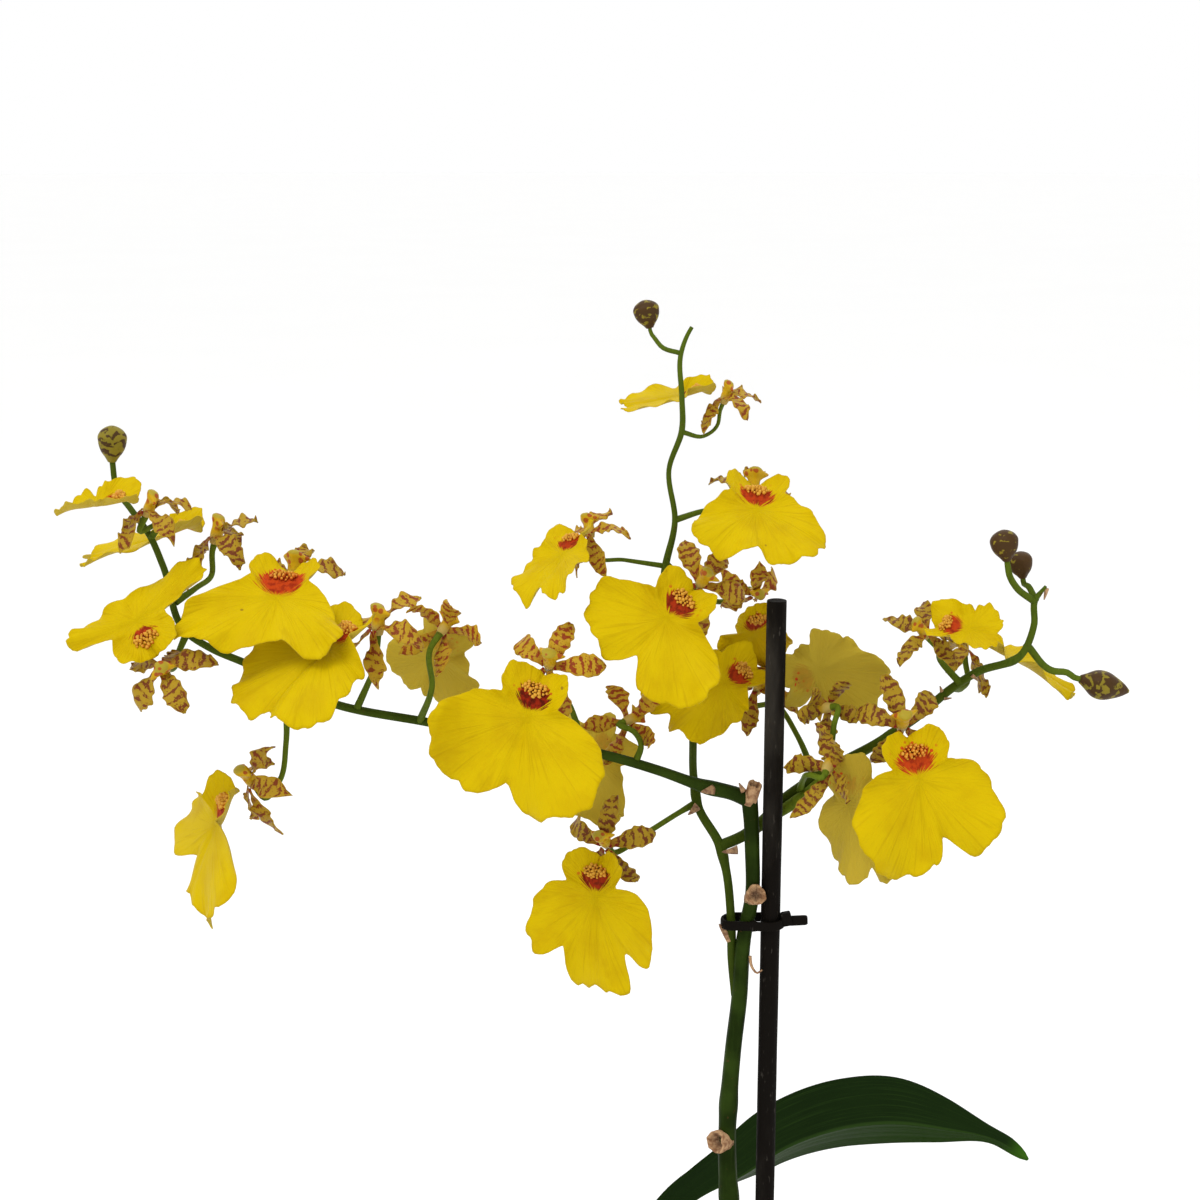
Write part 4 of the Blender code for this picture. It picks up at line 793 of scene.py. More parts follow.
# Stems: where each point is seen, its depth and its radius, all but the first in millimetres;
# how young the stem is at its two ends, and the swellings where leaves once sat, as their place
# along it and their reach in metres about a share of its girth
stems = {
    "main": dict(young=(0.0, 0.05), footRadii=(2.6, 2.4),
                 swellings=((0.140, 0.10, 0.003), (0.190, 0.12, 0.003), (0.212, 0.12, 0.003)),
                 row=((733, 1260, 0, 2.2), (729, 1200, 0, 2.05), (727, 1150, 0, 1.95),
                      (733, 1050, 0, 1.75), (739, 1000, 0, 1.7), (744, 936, 0, 1.55),
                      (752, 895, 0, 1.5), (752, 850, 0, 1.55), (751, 821, 0, 1.6), (749, 796, 0, 1.75))),
    "leftBranch": dict(young=(0.05, 0.45),
                       swellings=((0.009, 0.25, 0.003), (0.060, 0.12, 0.0015), (0.105, 0.12, 0.0015)),
                       row=((749, 800, 0, 1.7), (738, 795, 0, 1.6), (703, 786, 0, 1.2),
                            (660, 771, 0, 1.05), (609, 756, -0.5, 1.0), (520, 739, 1, 0.95),
                            (426, 722, 2, 0.92), (331, 703, 3, 0.88), (245, 663, 4, 0.8),
                            (210, 648, 3, 0.76), (187, 633, 2, 0.74), (163, 566, 0, 0.68),
                            (151, 538, 0, 0.66), (130, 508, 3, 0.62), (117, 490, 6, 0.6),
                            (112, 459, 6, 0.58))),
    "second": dict(young=(0.2, 0.55),
                   swellings=((0.031, 0.22, 0.002), (0.045, 0.25, 0.002), (0.105, 0.2, 0.0015)),
                   row=((736, 995, 0.6, 1.1), (732, 957, 1.4, 1.0), (731, 920, 0.8, 0.9),
                        (726, 870, 4, 0.9), (720, 846, 5, 1.0), (698, 806, 8, 0.9), (694, 780, 12, 0.85),
                        (693, 737, 22.5, 0.85), (690, 650, 22.5, 0.85), (665, 571, 7, 0.8),
                        (675, 520, 4, 0.6), (669, 470, 4, 0.52), (682, 430, 2, 0.62),
                        (682, 397, -1, 0.55), (681, 354, 0, 0.5), (688, 334, 0, 0.42),
                        (692, 327, 0, 0.4))),
    "rightBranch": dict(young=(0.25, 0.5), swellings=((0.075, 0.2, 0.0015), (0.045, 0.15, 0.0015)),
                        row=((720, 846, 5, 1.2), (743, 836, 6.5, 1.2), (762, 823, 9, 1.4),
                             (782, 803, 10, 1.5), (815, 778, 9, 1.2), (879, 742, 6, 1.0),
                             (918, 716, 4, 0.95), (952, 688, 3, 0.9), (977, 672, 1, 0.85),
                             (1021, 655, -1, 0.75), (1034, 625, -1, 0.68), (1036, 598, 0, 0.66),
                             (1041, 592, 0, 0.45), (1046, 586, 0, 0.3))),
}
stemShape = {"spacing": 0.0009, "sides": 24, "ribs": 0.03}

# Stalks: the points between the branch and the back of each bloom
stalks = {
    "bloom_01": ((151, 538, 0), (160, 523, -2)),
    "bloom_02": ((176, 602, 1), (196, 588, 6), (212, 574, 12)),
    "bloom_03": ((187, 633, 2), (178, 654, -3), (174, 668, -9)),
    "bloom_04": ((303, 690, 4), (301, 640, 9)),
    "bloom_05": ((357, 708, 2), (372, 674, 2)),
    "bloom_06": ((420, 721, 2), (432, 686, -6)),
    "bloom_07": ((585, 751, 0), (572, 710, 1)),
    "bloom_08": ((635, 763, 0), (641, 745, 0), (633, 731, 2.5)),
    "bloom_09": ((285, 683, 3), (286, 744, 3), (280, 780, 2)),
    "bloom_10": ((694, 804, 9), (680, 812, 6), (648, 832, 2)),
    "bloom_11": ((684, 632, 19), (705, 618, 9)),
    "bloom_12": ((815, 778, 9), (797, 735, 17), (778, 706, 21)),
    "bloom_13": ((668, 566, 7), (700, 596, 14), (730, 600, 22)),
    "bloom_14": ((829, 770, 8), (830, 755, -1.5), (832, 744, -4.2), (834, 725, -4.8)),
    "bloom_15": ((884, 739, 6), (893, 748, 0)),
    "bloom_16": ((800, 790, 9), (803, 780, 0), (811, 775, -9)),
    "bloom_17": ((960, 683, 2), (940, 660, 2)),
    "bloom_18": ((952, 688, 3), (962, 688, 10), (968, 678, 15)),
    "bloom_19": ((682, 432, 2), (704, 436, 6), (718, 424, 9)),
    "bloom_20": ((675, 520, 4), (710, 510, 9)),
    "bloom_21": ((665, 566, 7), (625, 560, 6)),
}
# the ends are shares of the radius at the branch, along the stalk, near the hub and in it
stalkShape = {"radius": 0.62, "ends": (1.3, 0.95, 1.0, 1.3), "approach": 3.5, "into": 1.0,
              "budEnds": (1.25, 0.95), "budApproach": 1.2, "budInto": 0.5, "spacing": 0.0008, "sides": 14,
              "thinner": {"bloom_19": 0.66, "bloom_20": 0.88, "bloom_21": 0.72, "bloom_01": 0.9}}

# Buds: stalk points, the bud's foot and tip as seen, its length and half width in millimetres
roundBud = ((0, 0.30), (0.1, 0.45), (0.3, 0.80), (0.55, 1.0), (0.78, 0.98), (0.92, 0.66), (0.98, 0.36),
            (1, 0.2))
pointedBud = ((0, 0.30), (0.1, 0.50), (0.3, 0.92), (0.5, 1.0), (0.72, 0.74), (0.9, 0.40), (1, 0.12))
buds = {
    "bud_a": dict(stalk=(), foot=(112, 462), tip=(112, 430), depth=6, length=7.4, half=2.7, seed=0.4,
                  brown=-0.35, profile=roundBud),
    "bud_b": dict(stalk=((680, 353, 0), (662, 347, 2), (653, 336, 3)), foot=(650, 328), tip=(645, 305),
                  depth=3, length=5.6, half=2.4, seed=1.9, stalkRadius=0.4, brown=0.5, profile=roundBud),
    "bud_c": dict(stalk=((1035, 602, 0), (1016, 587, -2), (1009, 574, -3)), foot=(1007, 561),
                  tip=(1003, 530), depth=-3, length=6.4, half=2.6, seed=2.7, stalkRadius=0.6, brown=0.8,
                  profile=roundBud),
    "bud_d": dict(stalk=((1036, 601, 0), (1028, 586, 3)), foot=(1023, 578), tip=(1019, 551), depth=5,
                  length=5.6, half=2.4, seed=3.3, stalkRadius=0.55, brown=0.9, profile=roundBud),
    "bud_e": dict(stalk=((1026, 644, -1), (1053, 671, 0), (1068, 673, 0)), foot=(1080, 679),
                  tip=(1131, 692), depth=0, length=10.5, half=2.9, seed=5.1, stalkRadius=0.62,
                  brown=0.3, profile=pointedBud),
}
budShape = {"ridge": 0.07, "fold": 0.05, "rings": 30, "sides": 36}


def stemBodies():
    # a tube for every branch; the one with foot radii first rises out of the bark
    bodies = []
    for stem in stems.values():
        row = np.array(stem["row"], float)
        spots, radii = seen(row), row[:, 3] * mm
        if "footRadii" in stem:
            foot = np.array([spots[0, 0] + mm, spots[0, 1], barkHoleFloor * mm])
            middle = (spots[0] + foot) / 2 + mm * rightWay
            spots = np.concatenate([[foot, middle], spots])
            radii = np.concatenate([np.array(stem["footRadii"]) * mm, radii])
        bodies.append(tubeBody(spots, radii, stemShape["sides"], stemShape["spacing"], stemShape["ribs"],
                               stem["swellings"], young=stem["young"]))
    return bodies


def stalkBody(spots, radii, young):
    # a thin tube, young from its first share to its last
    return tubeBody(spots, radii, stalkShape["sides"], stalkShape["spacing"], stemShape["ribs"], young=young)


def stalkBodies():
    # from the branch through its points to the hub, along the column's line at the end
    bodies = []
    for node, row in stalks.items():
        bloom = blooms[node]
        where = flowerFrame(bloom)
        along = 0.87 * where["face"] - 0.5 * where["down"]
        end = where["hub"] - where["size"] * columnShape["foot"] * where["face"]
        short = bloom.get("approach", stalkShape["approach"])
        spots = np.concatenate([seen(row), [end - short * mm * along, end + stalkShape["into"] * mm * along]])
        branch, middle, near, inside = stalkShape["ends"]
        radii = np.array([branch] + [middle] * (len(row) - 1) + [near, inside])
        thin = stalkShape["radius"] * stalkShape["thinner"].get(node, 1) * mm
        bodies.append(stalkBody(spots, thin * radii, (0.55, 0.95)))
    for bud in buds.values():
        if bud["stalk"]:
            foot, ahead = budLine(bud)
            ends = [foot - stalkShape["budApproach"] * mm * ahead, foot + stalkShape["budInto"] * mm * ahead]
            spots = np.concatenate([seen(bud["stalk"]), ends])
            radii = bud["stalkRadius"] * mm * np.linspace(*stalkShape["budEnds"], len(spots))
            bodies.append(stalkBody(spots, radii, (0.5, 0.7)))
    return bodies


def budLine(bud):
    # the bud's foot, and the direction from it to the tip
    foot, tip = seen([[*bud["foot"], bud["depth"]], [*bud["tip"], bud["depth"]]])
    return foot, unit(tip - foot)


def budBody(bud):
    # an egg along its line with three folded ridges, narrow at its foot
    foot, ahead = budLine(bud)
    side = unit(np.cross(ahead, backWay))
    s = np.linspace(0, 1, budShape["rings"])[:, None]
    a = circle(budShape["sides"])
    fold = budShape["fold"] * np.abs(np.sin(1.5 * a + bud["seed"]))
    ridge = budShape["ridge"] * np.cos(3 * a + bud["seed"]) + fold
    reach = bud["half"] * mm * smoothValue(s, bud["profile"]) * (1 + ridge * np.sin(np.pi * s) ** 0.7)
    middle = foot + s * bud["length"] * mm * ahead
    rings = about(middle[:, None], reach * np.cos(a), side, reach * np.sin(a), np.cross(ahead, side))
    return closedBody(rings, alongShare=s, aroundShare=a / (2 * np.pi), seed=bud["seed"], brown=bud["brown"])


# Cut ends: the middle of the stub's foot and of its cut face as seen, its radii in millimetres,
# and how deep the face is hollow; each ring of the outline takes its radius from shares of thin
# and thick, and its height from shares of the length and the hollow
cutEnds = {
    "top": dict(foot=(749, 803, -0.3), end=(755, 784, -1.4), thin=1.45, thick=1.5, hollow=1.4, seed=0.5),
    "side": dict(foot=(751, 898, 0.0), end=(756.5, 894.5, -3.2), thin=1.6, thick=2.15, hollow=0.7, seed=2.2),
    "low": dict(foot=(727, 1139, 0.0), end=(715, 1142.0, -2.6), thin=2.1, thick=2.45, hollow=2.0, seed=4.1),
}
cutOutline = np.array(((1, 0, 0, 0), (1, 0, 0.35, 0), (0, 0.97, 0.7, 0), (0, 1, 0.93, 0), (0, 0.96, 1, 0),
                       (0, 0.84, 1, 0), (0, 0.72, 1, -0.35), (0, 0.5, 1, -0.7), (0, 0.25, 1, -1)))


def cutEndBody(cut):
    # a short flared stub: out along its side, over an uneven rim, then into a shallow hollow
    foot, end = seen([cut["foot"], cut["end"]])
    ahead = unit(end - foot)
    side = unit(np.cross(ahead, rightWay + 0.3 * upWay))
    long = np.linalg.norm(end - foot) / mm
    radius = cutOutline[:, :2] @ [cut["thin"], cut["thick"]]
    height = cutOutline[:, 2:] @ [long, cut["hollow"]]
    a = circle(40)
    uneven = 1 + 0.06 * np.sin(3 * a + cut["seed"]) + 0.03 * np.sin(8 * a + 3 * cut["seed"])
    rough = 0.22 * np.sin(5 * a + cut["seed"]) + 0.12 * np.sin(13 * a + 2 * cut["seed"])
    number = np.arange(len(cutOutline))[:, None]
    reach = radius[:, None] * uneven * mm
    rise = (height[:, None] + rough * np.clip((number - 3) / 2, 0, 1)) * mm
    rings = about(foot + rise[..., None] * ahead, reach * np.cos(a), side, reach * np.sin(a),
                  np.cross(ahead, side))
    return closedBody(rings, hollow=0.75 * np.clip((number - 5.5) / 3, 0, 1))


# Papery scales: foot and tip as seen, half width at the foot and how far it stands out, in
# millimetres
scales = (
    dict(foot=(716, 789, -1.2), tip=(701, 792, -2.4), half=1.15, bow=0.6),
    dict(foot=(738, 850, 3.2), tip=(722, 852, 2.6), half=0.9, bow=0.7),
    dict(foot=(698, 806, 6.4), tip=(688, 815, 5.4), half=0.9, bow=0.6),
    dict(foot=(731, 941, 0.2), tip=(719, 924, -1.4), half=0.85, bow=-0.7),
    dict(foot=(744, 792, -1.5), tip=(739, 783, -1.9), half=0.6, bow=0.3),
    dict(foot=(942, 692, 2.6), tip=(940, 686, 2.2), half=0.35, bow=0.1),
    dict(foot=(944, 699, 2.4), tip=(952, 698, 1.9), half=0.3, bow=0.1),
    dict(foot=(972, 675, 0.4), tip=(978, 681, -0.2), half=0.4, bow=0.1),
    dict(foot=(1047, 588, 0.1), tip=(1044, 600, -0.4), half=0.45, bow=0.2),
)
scaleShape = {"point": 0.05, "cup": 0.45, "halfThick": 0.1, "rows": 12, "columns": 7}


def scaleBody(scale):
    # a pointed scale: its half width falls to the tip, it is curved across and bowed along
    foot, tip = seen([scale["foot"], scale["tip"]])
    ahead = tip - foot
    side = unit(np.cross(ahead, backWay))
    out = unit(np.cross(side, ahead))
    out *= np.sign(out @ backWay)
    s = np.linspace(0, 1, scaleShape["rows"])[:, None]
    t = np.linspace(-1, 1, scaleShape["columns"])[None, :]
    half = scale["half"] * mm * (1 - s) ** 0.7 + scaleShape["point"] * mm
    lift = scale["bow"] * mm * np.sin(np.pi * s) - scaleShape["cup"] * half * t * t
    front = about((foot + s * ahead)[:, None], half * t, side, lift, out)
    return closedBody(twoSheets(front, scaleShape["halfThick"] * mm * out), hollow=0.25 * s)


# The green sheath that wraps the fork, and the curled tendril: points as seen, and radii
wrap = {"row": ((768, 822, 7.6), (782, 811, 7.2), (798, 800, 7.0), (812, 788, 7.2), (820, 777, 7.8)),
        "radii": (0.5, 1.15, 1.3, 1.0, 0.35)}
curl = {"row": ((750, 956, -1.4), (752, 967, -1.8), (757, 973, -2.2), (762, 970, -2.4)),
        "radii": (0.35, 0.3, 0.25, 0.15)}

print("stems, stalks, buds and scales")
sheath = tubeBody(seen(wrap["row"]), np.array(wrap["radii"]) * mm, 16, stalkShape["spacing"],
                  stemShape["ribs"], young=(0.75, 0.9))
tendril = tubeBody(seen(curl["row"]), np.array(curl["radii"]) * mm, 8, 0.0005)
putPiece("stem", joined([*stemBodies(), *stalkBodies(), sheath]), stemGreen, ["flower_stem"])
putPiece("cutEnds", joined([cutEndBody(cut) for cut in cutEnds.values()]), cutTan)
putPiece("scales", joined([*[scaleBody(scale) for scale in scales], tendril]), paperScale)
for node, bud in buds.items():
    putPiece(node.replace("_", ""), budBody(bud), budNetted, [node])


# Leaves: the seen blade, and four that arch from their bulbs
bulbs = {
    "pseudobulb_a": dict(place=(-22, 6), half=(8, 12), height=68, turn=20),
    "pseudobulb_b": dict(place=(6, 24), half=(12, 8), height=74, turn=10),
    "pseudobulb_c": dict(place=(-8, -24), half=(11, 7), height=56, turn=-15),
}
leafSeen = ((700, 1196, 26), (738, 1177, 30), (788, 1146, 35), (839, 1128, 40),
            (890, 1122, 44), (945, 1128, 47), (1000, 1141, 49), (1028, 1160, 50))
# half widths along the leaf: in millimetres for the seen one, as shares for the others
leafSeenWidths = ((0, 3.1), (0.3, 8.2), (0.45, 10.4), (0.58, 11), (0.68, 10.4), (0.78, 6.8), (0.87, 2.4),
                  (0.93, 2.0), (1, 1.1))
leafWidths = ((0, 0.28), (0.2, 0.64), (0.4, 1), (0.5, 1), (0.6, 0.96), (0.7, 0.89), (0.8, 0.78),
              (0.9, 0.6), (0.96, 0.42), (1, 0.19))
arches = {
    "leaf_b": dict(foot="pseudobulb_b", side=3.5, heading=22, length=168, rise=66, half=12),
    "leaf_c": dict(foot="pseudobulb_b", side=-3.5, heading=148, length=165, rise=74, half=12.5),
    "leaf_d": dict(foot="pseudobulb_c", side=0, heading=318, length=165, rise=70, half=11),
    "leaf_e": dict(foot="pseudobulb_a", side=3, heading=250, length=160, rise=66, half=11),
}
archShape = {"strides": 7, "firstSlope": 80}
leafShape = {"bow": 0.10, "ripples": 26, "ripple": 0.012, "edge": 0.35, "middle": 0.55, "roundTip": 0.03,
             "spacing": 0.0016, "columns": 21}


def bulbTop(name, side):
    bulb = bulbs[name]
    return np.array([bulb["place"][0] + side, bulb["place"][1], barkHoleFloor + bulb["height"] + 0.3]) * mm


def archSpots(leaf):
    # equal strides whose slope falls from the first one's to below the level
    strides, first = archShape["strides"], archShape["firstSlope"]
    slope = np.radians(first - (first + leaf["rise"]) / strides * np.arange(strides))
    heading = np.radians(leaf["heading"])
    steps = xyz(np.cos(slope) * np.cos(heading), np.cos(slope) * np.sin(heading), np.sin(slope))
    foot = bulbTop(leaf["foot"], leaf["side"])
    return np.concatenate([[foot], foot + np.cumsum(leaf["length"] * mm / strides * steps, axis=0)])


def leafBody(spots, widths, roll, fold):
    # a strap that narrows to its foot and tip: each half is a bowed strip, folded up from the
    # midrib, and the whole blade rolls about the midrib along its length
    path, share, _ = smoothPath(spots, np.linspace(0, 1, len(spots)), leafShape["spacing"])
    s = share[:, None]
    ahead = unit(np.gradient(path, axis=0))
    level = unit(np.cross(ahead, [0, 0, 1.0]))
    over = np.cross(level, ahead)
    turn = np.radians(roll(s))
    side = np.cos(turn) * level + np.sin(turn) * over
    front = np.cross(ahead, side)
    toward = np.cos(turn) * over - np.sin(turn) * level
    front = (front * np.sign((front * toward).sum(axis=1, keepdims=True)))[:, None]
    width = smoothValue(s, widths) * mm * np.clip((1.004 - s) / leafShape["roundTip"], 0, 1) ** 0.5
    t = np.linspace(-1, 1, leafShape["columns"])[None, :]
    crease = np.radians(fold(s))
    bow = leafShape["bow"] * np.abs(t) * (1 - np.abs(t))
    rise = np.abs(t) * np.sin(crease) + bow + leafShape["ripple"] * np.sin(leafShape["ripples"] * t)
    blade = about(path[:, None], width * t * np.cos(crease), side[:, None], width * rise, front)
    thick = leafShape["edge"] + leafShape["middle"] * (1 - np.abs(t))
    thick = (mm * np.clip(width / (2 * mm), 0.15, 1) * thick)[..., None]
    return closedBody(twoSheets(blade, thick / 2 * front), alongShare=s, acrossShare=twoSheets(t, 0))


print("leaves and bulbs")
foot = bulbTop("pseudobulb_a", -2)
spots = np.concatenate([[foot, foot + np.array([0, 3, 34]) * mm], seen(leafSeen)])
putPiece("leafSeen", leafBody(spots, leafSeenWidths, lambda s: 30 + 55 * np.clip(s / 0.4, 0, 1),
                              lambda s: 40 - 15 * s), leafGreen, ["leaf_a"])
for node, leaf in arches.items():
    widths = [(s, share * leaf["half"]) for s, share in leafWidths]
    putPiece(node.replace("_", ""), leafBody(archSpots(leaf), widths, lambda s: 10 * np.sin(5 * s),
                                             lambda s: 45 - 30 * s), leafGreen, [node])

bulbShape = {"profile": ((0.0, 0.80), (0.12, 0.90), (0.3, 1.0), (0.5, 0.92), (0.7, 0.70), (0.87, 0.46),
                         (1.0, 0.34)), "ribs": 9, "rib": 0.025, "rings": 44, "sides": 64}
# each dry sheath: where round the bulb it starts, its half angle there and its height as a share
sheaths = {"places": ((0.6, 1.25, 0.42), (3.7, 1.15, 0.62)), "step": 2.1, "start": 0.16, "flare": 1.2,
           "crinkle": 0.15, "gaps": (0.7, 0.35), "rows": 20, "columns": 25}


def bulbRing(bulb, s, a, grow):
    # a flattened ring about the bulb's middle, turned with its flat faces
    rib = bulbShape["rib"] * np.cos(bulbShape["ribs"] * a + 2 * np.sin(4 * s))
    width = smoothValue(s, bulbShape["profile"]) * (1 + rib)
    x, y = turned((bulb["half"][0] * width + grow) * np.cos(a), (bulb["half"][1] * width + grow) * np.sin(a),
                  np.radians(bulb["turn"]))
    return xyz(bulb["place"][0] + x, bulb["place"][1] + y, barkHoleFloor + bulb["height"] * s) * mm


def bulbBody(bulb):
    # rings from the bulb's foot to its top
    s = np.linspace(0, 1, bulbShape["rings"])[:, None]
    return closedBody(bulbRing(bulb, s, circle(bulbShape["sides"]), 0), alongShare=s)


def drySheathBody(bulb, middle, spread, tall):
    # a papery sheath that hugs part of the bulb and narrows to a point, thin and closed
    s = np.linspace(0, 1, sheaths["rows"])[:, None]
    t = np.linspace(-1, 1, sheaths["columns"])[None, :]
    a = middle + spread * t * (1 - 0.85 * s**1.5)
    up = sheaths["start"] + tall * s * (1 - 0.12 * t * t)
    stands = sheaths["flare"] * s**3 + sheaths["crinkle"] * np.sin(7 * a + 5 * s)
    outer, inner = (bulbRing(bulb, up, a, gap + stands) for gap in sheaths["gaps"])
    return closedBody(np.concatenate([outer, inner[:, ::-1]], axis=1), hollow=0.3 * s)


drySheaths = []
for number, (node, bulb) in enumerate(bulbs.items()):
    putPiece(node.replace("_", ""), bulbBody(bulb), bulbGreen, [node])
    drySheaths += [drySheathBody(bulb, middle + sheaths["step"] * number, spread, tall)
                   for middle, spread, tall in sheaths["places"]]
putPiece("drySheaths", joined(drySheaths), paperScale)


# Stake and tie: places, radii and sizes in millimetres; a block is its middle, size and lean
stake = {"place": (9.0, 0.0), "radius": 2.05, "foot": 30.0, "top": 405.0, "sides": 40}
tie = {"stakeCircle": (9.0, 0.0, 2.75), "stemCircle": (1.3, 0.4, 2.45), "level": 335.2, "wide": 2.0,
       "thick": 0.75, "sway": 0.25,
       "blocks": (((12.3, -0.9, 336.3), (2.2, 2.0, 2.9), 0.2), ((14.5, -0.9, 335.9), (4.6, 0.9, 2.1), 0.05),
                  ((5.3, -2.3, 335.2), (1.4, 0.9, 2.3), 0.1))}


def stakeBody():
    # a round rod, very slightly uneven, with a worn edge at its flat top
    foot, top = stake["foot"], stake["top"]
    z = np.array([foot, *np.arange(foot + 4, top - 1, 4.0), top - 0.25, top - 0.05, top, top - 0.1])[:, None]
    a = circle(stake["sides"])
    reach = stake["radius"] * (1 + 0.008 * np.sin(3 * a + z / 17) + 0.006 * np.sin(z / 3.1))
    reach[-3:] = stake["radius"] * np.array([[0.97], [0.9], [0.4]])
    x, y = stake["place"]
    return closedBody(xyz(x + reach * np.cos(a), y + reach * np.sin(a), z) * mm)


def tieBody():
    # a flat band round both circles, joined by straight runs, rounded at its edges
    corners = []
    for (x, y, radius), first in ((tie["stakeCircle"], -np.pi / 2), (tie["stemCircle"], np.pi / 2)):
        a = first + np.linspace(0, np.pi, 20)
        corners.append(np.stack([x + radius * np.cos(a), y + radius * np.sin(a)], axis=1))
    line = np.concatenate(corners)
    ahead = np.roll(line, -1, axis=0) - np.roll(line, 1, axis=0)
    out = unit(np.stack([ahead[:, 1], -ahead[:, 0]], axis=1))
    b = circle(16)
    deep = 0.5 * tie["thick"] * squared(np.cos(b), 0.4)
    high = 0.5 * tie["wide"] * squared(np.sin(b), 0.4)
    x, y = (line[:, k, None] + deep * out[:, k, None] for k in (0, 1))
    return loopBody(xyz(x, y, tie["level"] + high + tie["sway"] * np.sin(circle(len(line)))[:, None]) * mm)


def roundedBlock(middle, size, lean):
    # a block with rounded edges, leaning in the picture: sines and cosines drawn towards square
    up = np.linspace(-np.pi / 2, np.pi / 2, 14)[:, None]
    a = circle(24)
    x = 0.5 * size[0] * squared(np.cos(up), 0.3) * squared(np.cos(a), 0.3)
    y = 0.5 * size[1] * squared(np.cos(up), 0.3) * squared(np.sin(a), 0.3)
    x, z = turned(x, 0.5 * size[2] * squared(np.sin(up), 0.3), lean)
    return closedBody((xyz(x, y, z) + np.array(middle)) * mm)


print("stake and tie")
putPiece("stake", stakeBody(), stakeBlack, ["stake"], sharp=50)
putPiece("tie", joined([tieBody(), *[roundedBlock(*block) for block in tie["blocks"]]]), tieBlack,
         ["tie"], sharp=60)


# Pot: its outline in (radius, height) millimetres from the inner rim out and down to the base,
# then back up inside
pot = {"outline": ((58.4, 104.2), (58.8, 104.9), (59.6, 105), (60, 104.5), (59.7, 94.5), (59.4, 94),
                   (57.8, 94), (57.5, 93.4), (44.4, 1.2), (43.8, 0.25), (43.0, 0), (0.01, 0), (0.01, 1.6),
                   (41.5, 1.6), (42.6, 2.4), (56.0, 92.2), (57.2, 93.2), (58.4, 94.6)),
       "steps": 128, "longestRun": 12, "holes": 4, "holeCircle": 27.0, "holeRadius": 4.0,
       "holeSides": 32, "drill": (-5.0, 6.0)}


def potBody():
    # the outline, its long runs cut up, turned about the pot's axis
    outline = np.array(pot["outline"])
    runs = []
    for start, stop in zip(outline, np.roll(outline, -1, axis=0)):
        cuts = max(1, int(np.linalg.norm(stop - start) / pot["longestRun"]))
        runs.append(start + (stop - start) * np.linspace(0, 1, cuts, endpoint=False)[:, None])
    r, z = np.concatenate(runs).T[..., None]
    a = circle(pot["steps"])
    return loopBody(xyz(r * np.cos(a), r * np.sin(a), z) * mm)


def drillPot(piece):
    # round holes through the base, between the axes
    a = circle(pot["holeSides"])
    z = np.array(pot["drill"])[:, None]
    for turn in np.pi / 4 + circle(pot["holes"]):
        x = pot["holeCircle"] * np.cos(turn) + pot["holeRadius"] * np.cos(a)
        y = pot["holeCircle"] * np.sin(turn) + pot["holeRadius"] * np.sin(a)
        drill = addObject("drill", cleanMesh("drill", closedBody(xyz(x, y, z) * mm)))
        cut = piece.modifiers.new("hole", "BOOLEAN")
        cut.operation = "DIFFERENCE"
        cut.object = drill
        graph = bpy.context.evaluated_depsgraph_get()
        cutMesh = bpy.data.meshes.new_from_object(piece.evaluated_get(graph))
        piece.modifiers.clear()
        piece.data = cutMesh
        bpy.data.objects.remove(drill, do_unlink=True)
    piece.data.shade_smooth()
    piece.data.set_sharp_from_angle(angle=np.radians(40))


chips = {"count": 520, "spread": 54.5, "level": 95.3, "relief": 2.6, "seed": 7, "lean": 0.28,
         "half": ((3.2, 6.8), (2.0, 4.2), (1.2, 2.3))}


def chipBodies():
    # rounded blocks, each stretched, bent and turned its own way, on a sunflower spiral, and
    # smaller near the pot's wall
    chance = np.random.default_rng(chips["seed"])
    count = chips["count"]
    number = np.arange(count)
    reach = chips["spread"] * np.sqrt((number + 0.5) / count) + chance.uniform(-2, 2, count)
    heading = number * np.pi * (3 - np.sqrt(5)) + chance.uniform(-0.3, 0.3, count)
    middle = xyz(reach * np.cos(heading), reach * np.sin(heading),
                 chips["level"] + chance.uniform(-1.2, chips["relief"], count))
    half = np.stack([chance.uniform(low, high, count) for low, high in chips["half"]], axis=1)
    half *= np.clip((60 - reach) / 8, 0.55, 1)[:, None]
    spin = chance.uniform(0, np.pi, (count, 1, 1))
    tip = chance.normal(0, chips["lean"], (count, 1, 1))
    rock = chance.normal(0, chips["lean"], (count, 1, 1))
    lump = chance.uniform(0, 6, (count, 1, 1))
    up = np.linspace(-np.pi / 2, np.pi / 2, 6)[:, None]
    a = circle(10)
    across = squared(np.cos(up), 0.45) * squared(np.cos(a), 0.45)
    along = squared(np.cos(up), 0.45) * squared(np.sin(a), 0.45)
    wide, deep, tall = half.T[..., None, None]
    x = across * wide * (1 + 0.12 * np.sin(3 * along + 3 * lump))
    y = along * deep * (1 + 0.2 * np.sin(2.4 * across + 2 * lump))
    z = squared(np.sin(up), 0.45) * tall + 0.18 * tall * np.sin(2 * across + lump)
    x, z = turned(x, z, -tip)
    y, z = turned(y, z, -rock)
    x, y = turned(x, y, spin)
    return [closedBody(chip) for chip in (xyz(x, y, z) + middle[:, None, None]) * mm]


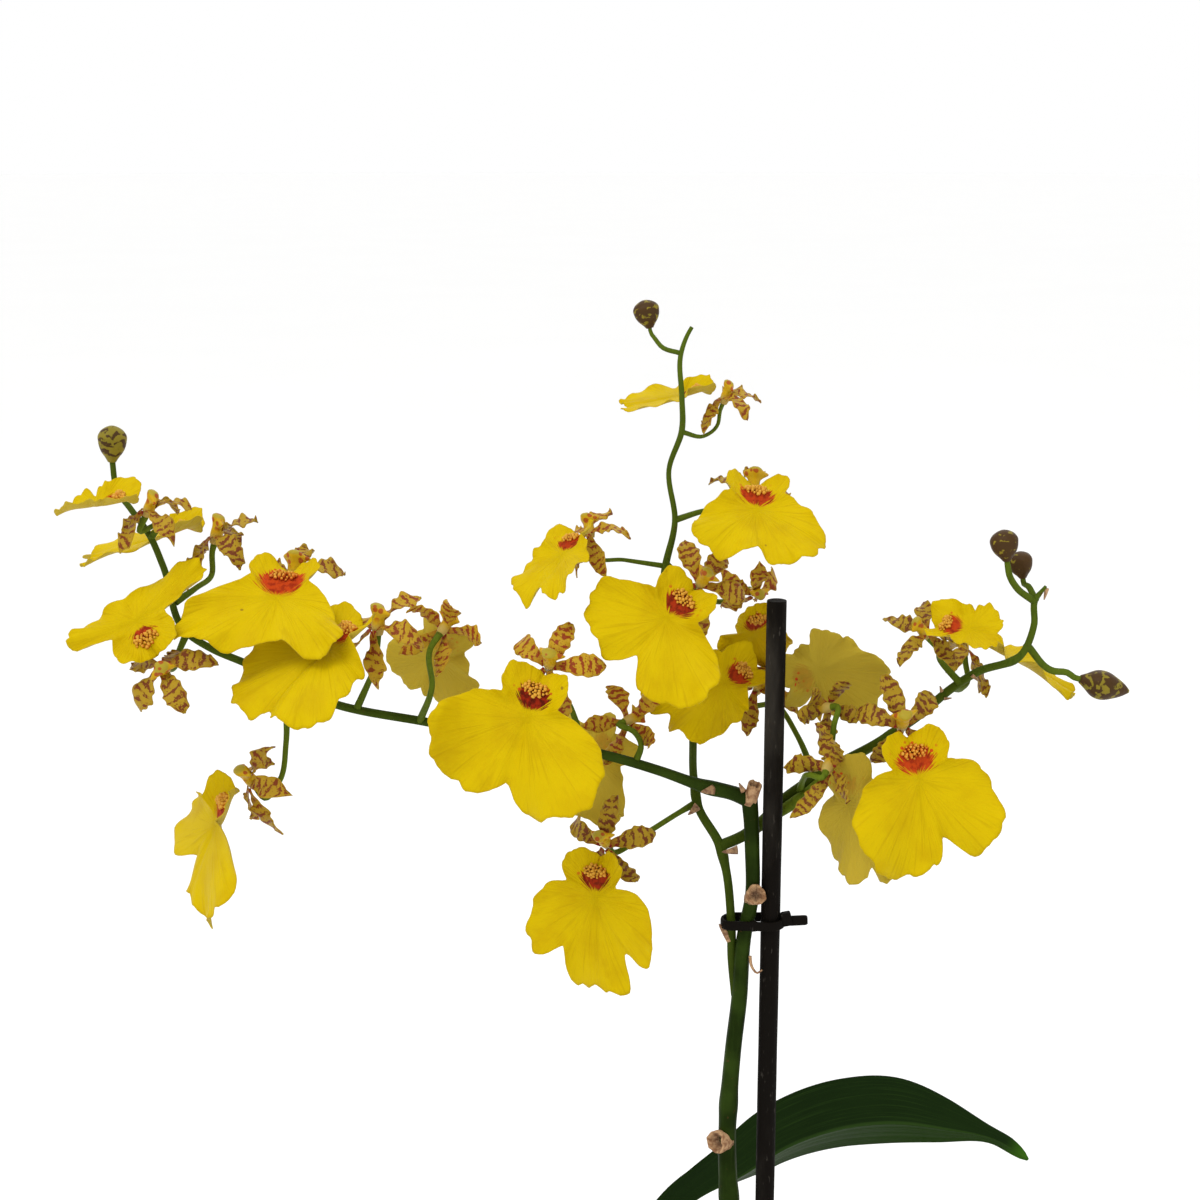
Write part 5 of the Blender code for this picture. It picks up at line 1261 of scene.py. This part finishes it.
print("pot and bark")
drillPot(putPiece("pot", potBody(), potPlastic, ["pot"]))
putPiece("barkChips", joined(chipBodies()), barkChip, sharp=45)
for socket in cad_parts["bark_mix"].material_slots:
    socket.material = barkBed


# Floor, light and camera
studio = {"floorReach": 30.0, "floorDrop": 0.0002, "world": 1.0,
          "lamps": {"key": dict(place=(-0.55, -0.75, 1.75), size=0.8, power=11),
                    "fill": dict(place=(1.2, -1.1, 0.9), size=1.6, power=1),
                    "rim": dict(place=(0.35, 1.1, 1.5), size=1.2, power=3)},
          "aim": (-0.02, 0.0, 0.36), "sensor": 36}


def makeFloor():
    # a disc just under the pot
    a = circle(64)
    mesh = bpy.data.meshes.new("floor")
    mesh.from_pydata((studio["floorReach"] * xyz(np.cos(a), np.sin(a), 0)).tolist(), [], [list(range(64))])
    mesh.materials.append(makeFloorMaterial())
    floor = addObject("floor", mesh)
    floor.location.z = -studio["floorDrop"]


def makeStudio():
    # square lamps that look down their own -Z at the plant, in a white world
    for name, lamp in studio["lamps"].items():
        light = bpy.data.lights.new(name, "AREA")
        light.shape = "SQUARE"
        light.size = lamp["size"]
        light.energy = lamp["power"]
        thing = addObject(name, light)
        thing.location = lamp["place"]
        x, y, z = np.array(lamp["place"]) - studio["aim"]
        thing.rotation_euler = (np.arctan2(np.hypot(x, y), z), 0, np.arctan2(x, -y))
    world = bpy.data.worlds.new("paleStudio")
    world.use_nodes = True
    backdrop = world.node_tree.nodes["Background"]
    plug(backdrop.inputs["Color"], (1, 1, 1))
    plug(backdrop.inputs["Strength"], studio["world"])
    bpy.context.scene.world = world
    bpy.context.scene.view_settings.view_transform = "Standard"


def makeCamera():
    # the eye that the places were seen from
    lens = bpy.data.cameras.new("camera")
    lens.sensor_width = studio["sensor"]
    lens.lens = studio["sensor"] * eye["focal"] / eye["pictureSide"]
    lens.clip_start = 0.01
    camera = addObject("camera", lens)
    camera.location = eye["place"]
    camera.rotation_euler = (np.pi / 2 - eye["tiltDown"], 0, 0)
    bpy.context.scene.camera = camera


print("floor, light and camera")
makeFloor()
makeStudio()
makeCamera()
